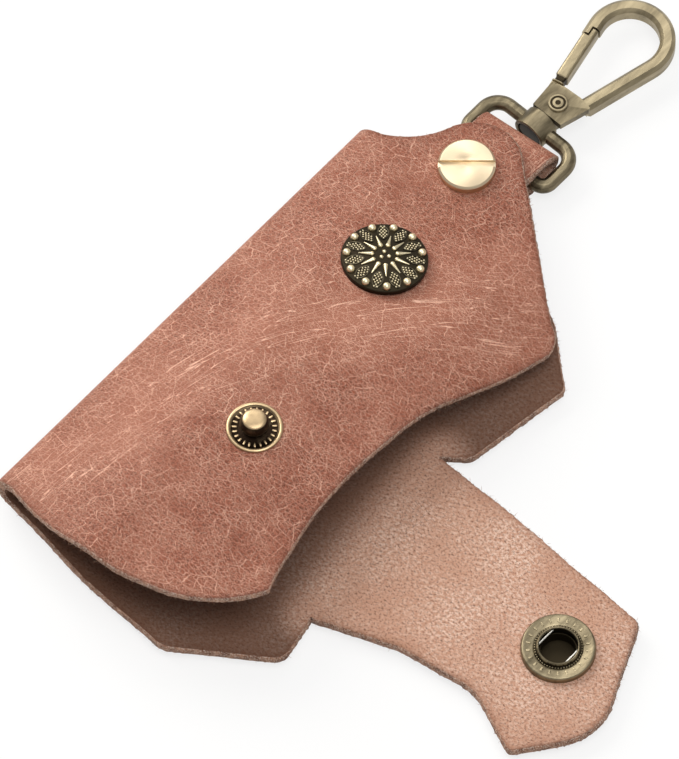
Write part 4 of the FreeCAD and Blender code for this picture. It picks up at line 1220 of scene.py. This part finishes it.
    def dress(
        self, piece: bpy.types.Object, material: bpy.types.Material, body: Body, slot: Slot, node: str
    ) -> bpy.types.Object:
        """Give a piece its finish and its place in the part.

        Args:
            piece: The finished piece.
            material: Its finish.
            body: The body it moves with.
            slot: Its slot in the record; not used.
            node: The solid that it stands for.

        Returns:
            The same piece.
        """
        piece.data.materials.clear()
        piece.data.materials.append(material)
        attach(piece, body.value)
        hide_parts(node)
        return piece

    def copy_of(self, node: str, name: str) -> bpy.types.Object:
        """A welded copy of a solid of the part."""
        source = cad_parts[node]
        piece = bpy.data.objects.new(name, source.data.copy())
        bpy.context.scene.collection.objects.link(piece)
        piece.matrix_world = source.matrix_world
        self.pick(piece)
        self.keep_place()
        with self.editing():
            bpy.ops.mesh.remove_doubles(threshold=self.solid_weld * MM)
            bpy.ops.mesh.dissolve_limited(angle_limit=math.radians(self.flat_angle))
        return piece


@dataclass
class ClampScrew:
    """Slotted brass screw head on the front lobe."""

    finishes: Finishes
    shop: Workshop
    radius: float = 5.2
    low: float = 8.7
    high: float = 10.7
    foot: float = 1.4
    chamfer: float = 0.4
    edge: float = 0.07
    steps: int = 128
    slot_wide: float = 1.25
    slot_deep: float = 0.7
    slot_turn: float = math.radians(-48.0)
    cutter_tall: float = 2.0

    def build(self) -> bpy.types.Object:
        """Turn the head and cut its slot."""
        wall = [(self.foot, self.low), (self.radius, self.low), (self.radius, self.high - self.chamfer)]
        face = [(self.radius - self.chamfer, self.high), (self.radius / 2.0, self.high), (0.0, self.high)]
        head = self.shop.lathe("clamp_screw_head", wall + face, self.steps)
        bpy.ops.object.select_all(action="DESELECT")
        bpy.ops.mesh.primitive_cube_add(
            size=1.0,
            location=(0.0, 0.0, (self.high - self.slot_deep + self.cutter_tall / 2.0) * MM),
            rotation=(0.0, 0.0, self.slot_turn),
            scale=(self.slot_wide * MM, 4.0 * self.radius * MM, self.cutter_tall * MM),
        )
        self.shop.boolean(head, self.shop.fresh("slot_cutter"), "DIFFERENCE")
        self.shop.soften(head, self.edge, segments=2)
        return self.shop.dress(head, self.finishes.brass, Body.CASE, Slot.BRASS, "clamp_screw")


@dataclass
class Concho:
    """Rosette button: dark disc with beads, spokes and dotted leaves."""

    finishes: Finishes
    shop: Workshop
    place: Place = (3.4, -25.9, 13.19)
    tilt: float = math.radians(-10.73)
    turn: float = math.radians(20.0)
    radius: float = 7.85
    rim: float = 1.0
    dome: float = 0.75
    spokes: int = 11
    # Shares of the radius: the leaves, the spokes, the outer beads and the middle dots.
    leaf_start: float = 0.47
    leaf_end: float = 0.94
    leaf_half: float = 0.13
    spoke_start: float = 0.3
    spoke_end: float = 0.6
    bead_ring: float = 0.87
    dot_ring: float = 0.1
    # Plate of a leaf: its height, how far it stands over the dome, and its rim's width and depth.
    plate_tall: float = 1.0
    plate_up: float = 0.14
    plate_rim: float = 0.14
    plate_deep: float = 0.16
    # Dots on a leaf: radius, spacing, rows, where they start, and a row's share of the spacing.
    dot: float = 0.19
    dot_pitch: float = 0.6
    dot_rows: int = 8
    dot_start: float = 0.4
    row_share: float = 0.7
    # How dark the leaves and their dots are.
    leaf_dark: float = 0.84
    dot_dark: float = 0.15
    middle_dots: int = 3

    def crown(self, radius: float) -> float:
        """Height of the dome at a radius."""
        return self.rim + self.dome * (1.0 - (radius / self.radius) ** 2)

    def disc(self) -> bpy.types.Object:
        """The domed ground."""
        edge = [(3.0, 0.0), (self.radius - 0.15, 0.0), (self.radius, 0.15), (self.radius, self.rim - 0.1),
                (self.radius - 0.12, self.rim + 0.05)]
        dome = [(r, self.crown(r)) for r in (7.2, 6.2, 5.0, 3.6, 2.2, 1.0)]
        ground = self.shop.lathe("concho_ground", [*edge, *dome, (0.0, self.crown(0.0))], 128, angle=35.0)
        self.shop.tarnish_and_shade(ground, lambda spot: 1.0)
        return ground

    def leaf(self) -> bpy.types.Object:
        """One pointed leaf with a raised rim and raised dots, lying along X."""
        start = self.leaf_start * self.radius
        end = self.leaf_end * self.radius
        half = self.leaf_half * self.radius
        reach = (end - start) / 2.0
        bow = (reach ** 2 + half ** 2) / (2.0 * half)
        middle = (start + end) / 2.0
        top = self.crown(middle)
        sunk = self.plate_tall / 2.0 - self.plate_up
        blades = []
        for side in (-1.0, 1.0):
            bpy.ops.object.select_all(action="DESELECT")
            bpy.ops.mesh.primitive_cylinder_add(
                vertices=96, radius=bow * MM, depth=self.plate_tall * MM,
                location=(middle * MM, side * (bow - half) * MM, (top - sunk) * MM),
            )
            blades.append(self.shop.fresh("blade"))
        blade = blades[0]
        self.shop.boolean(blade, blades[1], "INTERSECT")
        self.shop.pick(blade)
        bpy.ops.object.mode_set(mode="EDIT")
        bpy.ops.mesh.select_mode(type="FACE")
        bpy.ops.mesh.select_all(action="DESELECT")
        bpy.ops.object.mode_set(mode="OBJECT")
        for face in blade.data.polygons:
            face.select = face.normal.z > 0.9
        bpy.ops.object.mode_set(mode="EDIT")
        bpy.ops.mesh.inset(thickness=self.plate_rim * MM, depth=0.0)
        sink = (0.0, 0.0, -self.plate_deep * MM)
        bpy.ops.mesh.extrude_region_move(TRANSFORM_OT_translate={"value": sink})
        bpy.ops.object.mode_set(mode="OBJECT")
        self.lean(blade, middle, top)
        self.shop.tarnish_and_shade(blade, lambda spot: self.leaf_dark)
        dots = [blade]
        pitch = self.dot_pitch
        for row in range(self.dot_rows):
            along = start + self.dot_start + row * pitch * self.row_share
            open_half = half - (along - middle) ** 2 / (2.0 * bow) - 0.18
            for column in range(-3, 4):
                aside = (column + 0.5 * (row % 2)) * pitch
                if abs(aside) < open_half:
                    high = self.crown(math.hypot(along, aside)) + 0.06
                    dot = self.shop.bead(self.dot, (along, aside), high, flat=0.8, steps=8)
                    self.shop.tarnish_and_shade(dot, lambda spot: self.dot_dark)
                    dots.append(dot)
        leaf = self.shop.join("leaf", dots)
        self.shop.smooth(self.shop.smooth_angle)
        return leaf

    def lean(self, piece: bpy.types.Object, middle: float, top: float) -> None:
        """Tip a flat piece so that it follows the dome's slope."""
        slope = 2.0 * self.dome * middle / self.radius ** 2
        self.shop.pick(piece)
        with self.shop.editing():
            bpy.ops.transform.rotate(value=-math.atan(slope), orient_axis="Y", orient_type="GLOBAL",
                                     center_override=(middle * MM, 0.0, top * MM))

    def spoke(self) -> bpy.types.Object:
        """One teardrop spoke, fat end inward."""
        start = self.spoke_start * self.radius
        end = self.spoke_end * self.radius
        bpy.ops.object.select_all(action="DESELECT")
        bpy.ops.mesh.primitive_cone_add(
            vertices=16, radius1=0.42 * MM, radius2=0.08 * MM, depth=(end - start) * MM,
            location=((start + end) / 2.0 * MM, 0.0, (self.crown(start) + 0.05) * MM),
            rotation=(0.0, math.pi / 2.0, 0.0),
        )
        taper = self.shop.fresh("taper")
        self.lean(taper, start, self.crown(start))
        knob = self.shop.bead(0.46, (start, 0.0), self.crown(start) + 0.08, flat=0.9, steps=16)
        piece = self.shop.join("spoke", [taper, knob])
        self.shop.tarnish_and_shade(piece, lambda spot: 0.0)
        self.shop.smooth(60.0)
        return piece

    def build(self) -> bpy.types.Object:
        """Assemble the rosette on its seat."""
        step = math.pi / self.spokes
        pieces = [self.disc()]
        pieces += self.shop.ring_of(self.leaf(), self.spokes, step)
        pieces += self.shop.ring_of(self.spoke(), self.spokes)
        away = self.bead_ring * self.radius
        bead = self.shop.bead(0.78, (away, 0.0), self.crown(away) + 0.15)
        self.shop.tarnish_and_shade(bead, lambda spot: 0.0)
        bpy.ops.object.shade_smooth()
        pieces += self.shop.ring_of(bead, self.spokes)
        dot = self.shop.bead(0.4, (self.dot_ring * self.radius, 0.0), self.crown(0.8) + 0.05)
        self.shop.tarnish_and_shade(dot, lambda spot: 0.0)
        bpy.ops.object.shade_smooth()
        pieces += self.shop.ring_of(dot, self.middle_dots)
        button = self.shop.join("concho_rosette", pieces)
        self.shop.settle(button, self.place, self.tilt, self.turn)
        return self.shop.dress(button, self.finishes.dark_bronze, Body.CASE, Slot.ANTIQUE, "concho_button")


@dataclass
class SnapStud:
    """Stud with its crimped eyelet on the front."""

    finishes: Finishes
    shop: Workshop
    place: Place = (10.0, -67.7, 16.0)
    eyelet_radius: float = 5.1
    ticks: int = 23
    angle: float = 50.0
    # Where the bright head starts, how far in the dark recess starts, and how dark each is. Below the head's
    # top, the sides and the neck are darkened with painted shade.
    head_from: float = 3.25
    head_dark: float = 0.1
    stud_side_shade: float = 0.85
    recess: float = 0.75
    recess_dark: float = 0.9

    def stud(self) -> bpy.types.Object:
        """Necked post with a domed head."""
        profile = [(1.9, 0.0), (1.85, 0.6), (2.0, 0.9), (2.5, 1.25), (2.68, 1.7), (2.64, 2.2), (2.42, 2.8),
                   (2.2, 3.2), (2.1, 3.34), (1.85, 3.48), (1.2, 3.57), (0.6, 3.6), (0.0, 3.6)]
        stud = self.shop.lathe("snap_stud_post", profile, 64, self.angle)
        # Painted shade on the head's sides and the neck; only the top stays bright.
        self.shop.tarnish_and_shade(stud, lambda spot: self.stud_side_shade if spot.z < self.head_from else self.head_dark)
        self.shop.settle(stud, self.place)
        return self.shop.dress(stud, self.finishes.pale_bronze, Body.CASE, Slot.ANTIQUE, "snap_stud")

    def eyelet(self) -> bpy.types.Object:
        """Rolled rim round a dark recess with radial crimps."""
        r = self.eyelet_radius
        profile = [(1.9, 0.02), (r - 0.1, 0.0), (r, 0.1), (r, 0.28), (r - 0.12, 0.42), (r - 0.35, 0.48),
                   (r - 0.6, 0.42), (r - 0.72, 0.25), (r - 0.9, 0.1), (2.6, 0.08), (2.1, 0.2), (1.92, 0.2)]
        flange = self.shop.lathe("stud_eyelet_flange", profile, 96, self.angle)
        self.shop.tarnish_and_shade(flange, lambda spot: self.recess_dark if spot.xy.length < r - self.recess else 0.0)
        tick = self.shop.bar(start=0.62 * r, end=0.79 * r, wide=0.34, low=0.0, high=0.3, bevel=0.1)
        self.shop.tarnish_and_shade(tick, lambda spot: 0.0)
        eyelet = self.shop.join("stud_eyelet_flange", [flange, *self.shop.ring_of(tick, self.ticks)])
        self.shop.settle(eyelet, self.place)
        return self.shop.dress(eyelet, self.finishes.pale_bronze, Body.CASE, Slot.ANTIQUE, "stud_eyelet")


@dataclass
class SnapSocket:
    """Socket on the suede side of the flap, with its cap behind."""

    finishes: Finishes
    shop: Workshop
    place: Place = (75.4, -59.8, 3.2)
    radius: float = 6.75
    beads: int = 52
    ticks: int = 22
    angle: float = 50.0
    # The beaded groove, the mouth under the lip and the cap's tube, and how dark the ring is. The mouth and
    # the tube are darkened with painted shade.
    groove: Point = (3.95, 4.45)
    mouth_top: float = 1.3
    tube: float = 3.5
    groove_dark: float = 0.9
    ring_dark: float = 0.28

    def ring_depth(self, spot: Vector) -> float:
        """Darkness of the ring: the beaded groove is dark, and the mouth under the lip gets painted shade."""
        inner, outer = self.groove
        radius = spot.xy.length
        sunk = inner < radius < outer or (radius < inner and spot.z < self.mouth_top)
        return self.groove_dark if sunk else self.ring_dark

    def socket(self) -> bpy.types.Object:
        """Shallow dish with a ticked band and a beaded line round its thin lip."""
        r = self.radius
        rim = [(3.6, 0.0), (r, 0.0), (r, 0.8), (r - 0.1, 1.12), (r - 0.28, 1.3), (r - 0.5, 1.34),
               (r - 0.75, 1.28)]
        dish = [(4.75, 1.0), (4.5, 0.97), (4.4, 0.88), (4.05, 0.88)]
        lip = [(4.02, 1.25), (3.95, 1.55), (3.85, 1.72), (3.7, 1.82), (3.54, 1.76), (3.48, 1.6), (3.48, 1.2)]
        mouth = [(3.9, 1.2), (3.9, 0.6), (3.6, 0.6), (3.6, 0.0)]
        ring = self.shop.lathe("snap_socket_ring", rim + dish + lip + mouth, 112, self.angle)
        self.shop.tarnish_and_shade(ring, self.ring_depth)
        bead = self.shop.bead(radius=0.16, place=(4.23, 0.0), height=0.95, steps=10)
        self.shop.tarnish_and_shade(bead, lambda spot: 0.0)
        bpy.ops.object.shade_smooth()
        tick = self.shop.bar(start=5.0, end=5.8, wide=0.34, low=0.9, high=1.27, bevel=0.08)
        self.shop.tarnish_and_shade(tick, lambda spot: 0.0)
        parts = [ring, *self.shop.ring_of(bead, self.beads), *self.shop.ring_of(tick, self.ticks)]
        socket = self.shop.join("snap_socket_ring", parts)
        self.shop.settle(socket, self.place)
        return self.shop.dress(socket, self.finishes.antique, Body.FLAP_END, Slot.ANTIQUE, "snap_socket")

    def cap(self) -> bpy.types.Object:
        """Smooth cap on the grain side, with its tube up through the flap darkened as painted shade in the
        bore.
        """
        r = self.radius
        dome = [(5.0, 0.0), (5.6, 0.07), (6.3, 0.45), (r, 1.2)]
        tube = [(3.4, 1.2), (3.4, 3.3), (3.2, 3.3), (3.2, 0.84), (0.0, 0.84)]
        cap = self.shop.lathe("snap_cap_turned", dome + tube, 96, self.angle)
        # Painted shade: the tube and the floor inside the bore are fully dark.
        self.shop.tarnish_and_shade(cap, lambda spot: 1.0 if spot.xy.length < self.tube else 0.0)
        self.shop.settle(cap, (self.place[0], self.place[1], 0.0))
        return self.shop.dress(cap, self.finishes.antique, Body.FLAP_END, Slot.ANTIQUE, "snap_cap")


@dataclass
class SwivelHook:
    """Ring, swivel post, hook and gate, rounded from the part's solids, and the ringed pin."""

    finishes: Finishes
    shop: Workshop
    # Each solid with its body and the rounding of its edges.
    pieces: tuple = (("swivel_ring", Body.RING, 0.25), ("swivel_post", Body.HOOK, 0.15),
                     ("hook_body", Body.HOOK, 0.35), ("hook_gate", Body.GATE, 0.15))
    pivot: Point = (2.1, 22.2)
    pin_groove: Point = (1.05, 1.35)
    pin_middle: float = 0.45
    gate_root: Place = (-0.345, 21.675, 3.5)
    gate_way: Place = (-0.21, 0.978, 0.0)
    # Cuts across the gate's bar. The stretch between the inner two is drawn in and darkened with painted
    # shade.
    neck: tuple = (4.5, 4.65, 5.75, 5.9)
    neck_share: float = 0.76
    neck_slack: float = 0.02
    neck_shade: float = 0.9
    undercut: tuple = ((3.45, 18.6), (5.35, 25.55), (9.0, 25.55), (9.0, 18.6))
    undercut_top: float = 4.3
    post_foot: float = 15.5
    base_end: float = 25.0
    dulled: float = 0.42

    def thin_fork(self, hook: bpy.types.Object) -> None:
        """Cut the fork's right cheek away from below, so that only its upper plate stands out."""
        bpy.ops.object.select_all(action="DESELECT")
        bpy.ops.mesh.primitive_circle_add(vertices=4, radius=MM, fill_type="NGON")
        cutter = self.shop.fresh("cheek_cutter")
        for vertex, spot in zip(cutter.data.vertices, reversed(self.undercut)):
            vertex.co = Vector((*spot, 0.0)) * MM
        lift = (0.0, 0.0, self.undercut_top * MM)
        with self.shop.editing():
            bpy.ops.mesh.extrude_region_move(TRANSFORM_OT_translate={"value": lift})
            bpy.ops.mesh.select_all(action="SELECT")
            bpy.ops.mesh.normals_make_consistent(inside=False)
        self.shop.boolean(hook, cutter, "DIFFERENCE")

    def neck_in(self, gate: bpy.types.Object) -> None:
        """Draw the foot of the gate's bar in to a neck, darkened with painted shade."""
        root = Vector(self.gate_root) * MM
        way = Vector(self.gate_way)
        self.shop.pick(gate)
        with self.shop.editing():
            for run in self.neck:
                bpy.ops.mesh.select_all(action="SELECT")
                bpy.ops.mesh.bisect(plane_co=root + way * run * MM, plane_no=way)
            bpy.ops.mesh.select_all(action="DESELECT")
        low = self.neck[1] - self.neck_slack
        high = self.neck[2] + self.neck_slack
        inside = [low < (v.co - root).dot(way) / MM < high for v in gate.data.vertices]
        gate.data.vertices.foreach_set("select", inside)
        middle = root + way * (low + high) / 2.0 * MM
        bpy.ops.object.mode_set(mode="EDIT")
        bpy.ops.transform.resize(value=(self.neck_share,) * 3, center_override=middle)
        bpy.ops.object.mode_set(mode="OBJECT")
        # The neck gets painted shade of the gap by the fork.
        dark = self.neck_shade
        self.shop.tarnish_and_shade(gate, lambda spot: dark if low < (spot * MM - root).dot(way) / MM < high else 0.0)

    def pin_depth(self, spot: Vector) -> float:
        """Darkness of the pin: its ring groove and its middle are dark."""
        inner, outer = self.pin_groove
        radius = spot.xy.length
        return 1.0 if inner < radius < outer or radius < self.pin_middle else 0.0

    def pin(self) -> bpy.types.Object:
        """Rivet with a ringed head."""
        foot = [(1.5, 0.8), (1.8, 0.95), (1.8, 1.15), (1.0, 1.2), (1.0, 5.8), (1.8, 5.82)]
        head = [(1.8, 6.08), (1.68, 6.2), (1.42, 6.2), (1.3, 6.04), (1.08, 6.04), (0.98, 6.18), (0.52, 6.2),
                (0.4, 6.08), (0.0, 6.06)]
        pin = self.shop.lathe("gate_pin_turned", foot + head, 64, angle=35.0)
        self.shop.tarnish_and_shade(pin, self.pin_depth)
        self.shop.settle(pin, (*self.pivot, 0.0))
        return self.shop.dress(pin, self.finishes.antique, Body.HOOK, Slot.ANTIQUE, "gate_pin")

    def build(self) -> list[bpy.types.Object]:
        """Round and dress every piece."""
        made = [self.pin()]
        for node, body, bevel in self.pieces:
            piece = self.shop.copy_of(node, f"{node}_cast")
            if node == "hook_body":
                self.thin_fork(piece)
            self.shop.soften(piece, bevel)
            if node == "hook_gate":
                self.neck_in(piece)
            elif node == "swivel_post":
                self.shop.tarnish_and_shade(piece, lambda spot: 1.0 if spot.y < self.post_foot else 0.0)
            elif node == "swivel_ring":
                self.shop.tarnish_and_shade(piece, lambda spot: self.dulled)
            else:
                self.shop.tarnish_and_shade(piece, lambda spot: self.dulled if spot.y < self.base_end else 0.0)
            self.shop.apply(piece, "WEIGHTED_NORMAL", keep_sharp=True)
            made.append(self.shop.dress(piece, self.finishes.antique, body, Slot.ANTIQUE, node))
        return made


@dataclass
class Studio:
    """Pale floor, soft lights and the camera at the photograph's view."""

    aim: Place = (8.7, -43.7, 0.0)
    # Way to the camera in degrees, and the long side of the view.
    azimuth: float = 42.0
    elevation: float = 61.0
    view_long: float = 135.5
    lens: float = 1200.0
    sensor: float = 36.0
    # Half the floor's side in metres.
    floor_half: float = 0.9
    # Strength of the surroundings as light and as a mirror image, and share of the floor that glows.
    world_level: float = 0.22
    world_mirrored: float = 0.55
    floor_glow: float = 0.78
    paper: str = "F4F3F1"
    # Each soft light: name, place from the aim and side in metres, watts and colour.
    lights: tuple = (("key_light", (-0.7, 0.05, 0.5), 0.5, 5.5, "FFFDF8"),
                     ("card_light", (-0.42, 0.46, 0.66), 0.6, 1.8, "FFFFFF"),
                     ("top_light", (0.2, -0.05, 0.8), 0.6, 4.0, "FFFFFF"))

    def back(self) -> Vector:
        """Direction from the object to the camera."""
        turn = math.radians(self.azimuth)
        up = math.radians(self.elevation)
        return Vector((math.sin(turn) * math.cos(up), -math.cos(turn) * math.cos(up), math.sin(up)))

    def camera(self) -> None:
        """Place the camera."""
        data = bpy.data.cameras.new("camera")
        data.lens = self.lens
        data.sensor_width = self.sensor
        reach = self.view_long * MM * self.lens / self.sensor
        camera = bpy.data.objects.new("camera", data)
        camera.location = Vector(self.aim) * MM + self.back() * reach
        camera.rotation_euler = self.back().to_track_quat("Z", "Y").to_euler()
        bpy.context.scene.collection.objects.link(camera)
        bpy.context.scene.camera = camera

    def light(self, name: str, place: Vector, size: float, power: float, colour: str) -> None:
        """Add a square soft light that looks at the object."""
        data = bpy.data.lights.new(name, "AREA")
        data.size = size
        data.energy = power
        data.color = linear(colour)[:3]
        lamp = bpy.data.objects.new(name, data)
        lamp.location = Vector(self.aim) * MM + place
        lamp.rotation_euler = place.to_track_quat("Z", "Y").to_euler()
        bpy.context.scene.collection.objects.link(lamp)

    def floor(self) -> None:
        """Flat white paper that keeps the contact shadow."""
        bpy.ops.mesh.primitive_plane_add(size=2.0 * self.floor_half, location=(0.0, 0.0, 0.0))
        floor = bpy.context.object
        floor.name = "studio_floor"
        material, s = new_material("white_paper_floor")
        paper = s.add("BsdfDiffuse", {"Color": linear(self.paper)})
        glow = s.add("Emission", {"Color": WHITE, "Strength": 1.0})
        seen = s.add("LightPath", {}, "Is Camera Ray")
        mirrored = s.add("LightPath", {}, "Is Glossy Ray")
        seen = s.add("Math", {0: seen, 1: mirrored}, operation="MAXIMUM")
        share = s.add("Math", {0: seen, 1: self.floor_glow}, operation="MULTIPLY")
        s.add("OutputMaterial", {"Surface": s.add("MixShader", {0: share, 1: paper, 2: glow})})
        floor.data.materials.append(material)

    def world(self) -> None:
        """Even white surroundings, brighter in the metal and pure white where the camera sees them."""
        world = bpy.data.worlds.new("studio_white")
        world.use_nodes = True
        world.node_tree.nodes.clear()
        s = Shader(world.node_tree)
        seen = s.add("LightPath", {}, "Is Camera Ray")
        mirrored = s.add("LightPath", {}, "Is Glossy Ray")
        level = s.add("Mix", {0: mirrored, 2: self.world_level, 3: self.world_mirrored})
        level = s.add("Mix", {0: seen, 2: level, 3: 1.0})
        sky = s.add("Background", {"Color": WHITE, "Strength": level})
        s.add("OutputWorld", {"Surface": sky})
        bpy.context.scene.world = world

    def build(self) -> None:
        """Set up the whole studio."""
        self.floor()
        self.world()
        self.camera()
        for name, place, size, power, colour in self.lights:
            self.light(name, Vector(place), size, power, colour)
        bpy.context.scene.view_settings.view_transform = "Standard"


def dress_plain_solids(finishes: Finishes) -> None:
    """Give the solids that stay as they are their finishes."""
    plain = {
        "screw_post": finishes.brass,
        "concho_rivet": finishes.antique,
        "stud_backer": finishes.antique,
        "socket_spring": finishes.steel,
        "gate_spring": finishes.steel,
    }
    for node, material in plain.items():
        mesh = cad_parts[node].data
        mesh.materials.clear()
        mesh.materials.append(material)


def main() -> None:
    """Build the case piece by piece and dress it."""
    logging.basicConfig(level=logging.INFO, format="%(message)s")
    finishes = Finishes()
    case = LeatherCase(finishes)
    pieces = [case.wrap(), *case.flap(), HangerStrap(finishes).build()]
    shop = Workshop()
    pieces += [ClampScrew(finishes, shop).build(), Concho(finishes, shop).build()]
    stud = SnapStud(finishes, shop)
    snap = SnapSocket(finishes, shop)
    pieces += [stud.stud(), stud.eyelet(), snap.socket(), snap.cap()]
    pieces += SwivelHook(finishes, shop).build()
    dress_plain_solids(finishes)
    for piece in pieces:
        LOG.info("%s: %d faces", piece.name, len(piece.data.polygons))
    Studio().build()


if __name__ == "__main__":
    main()
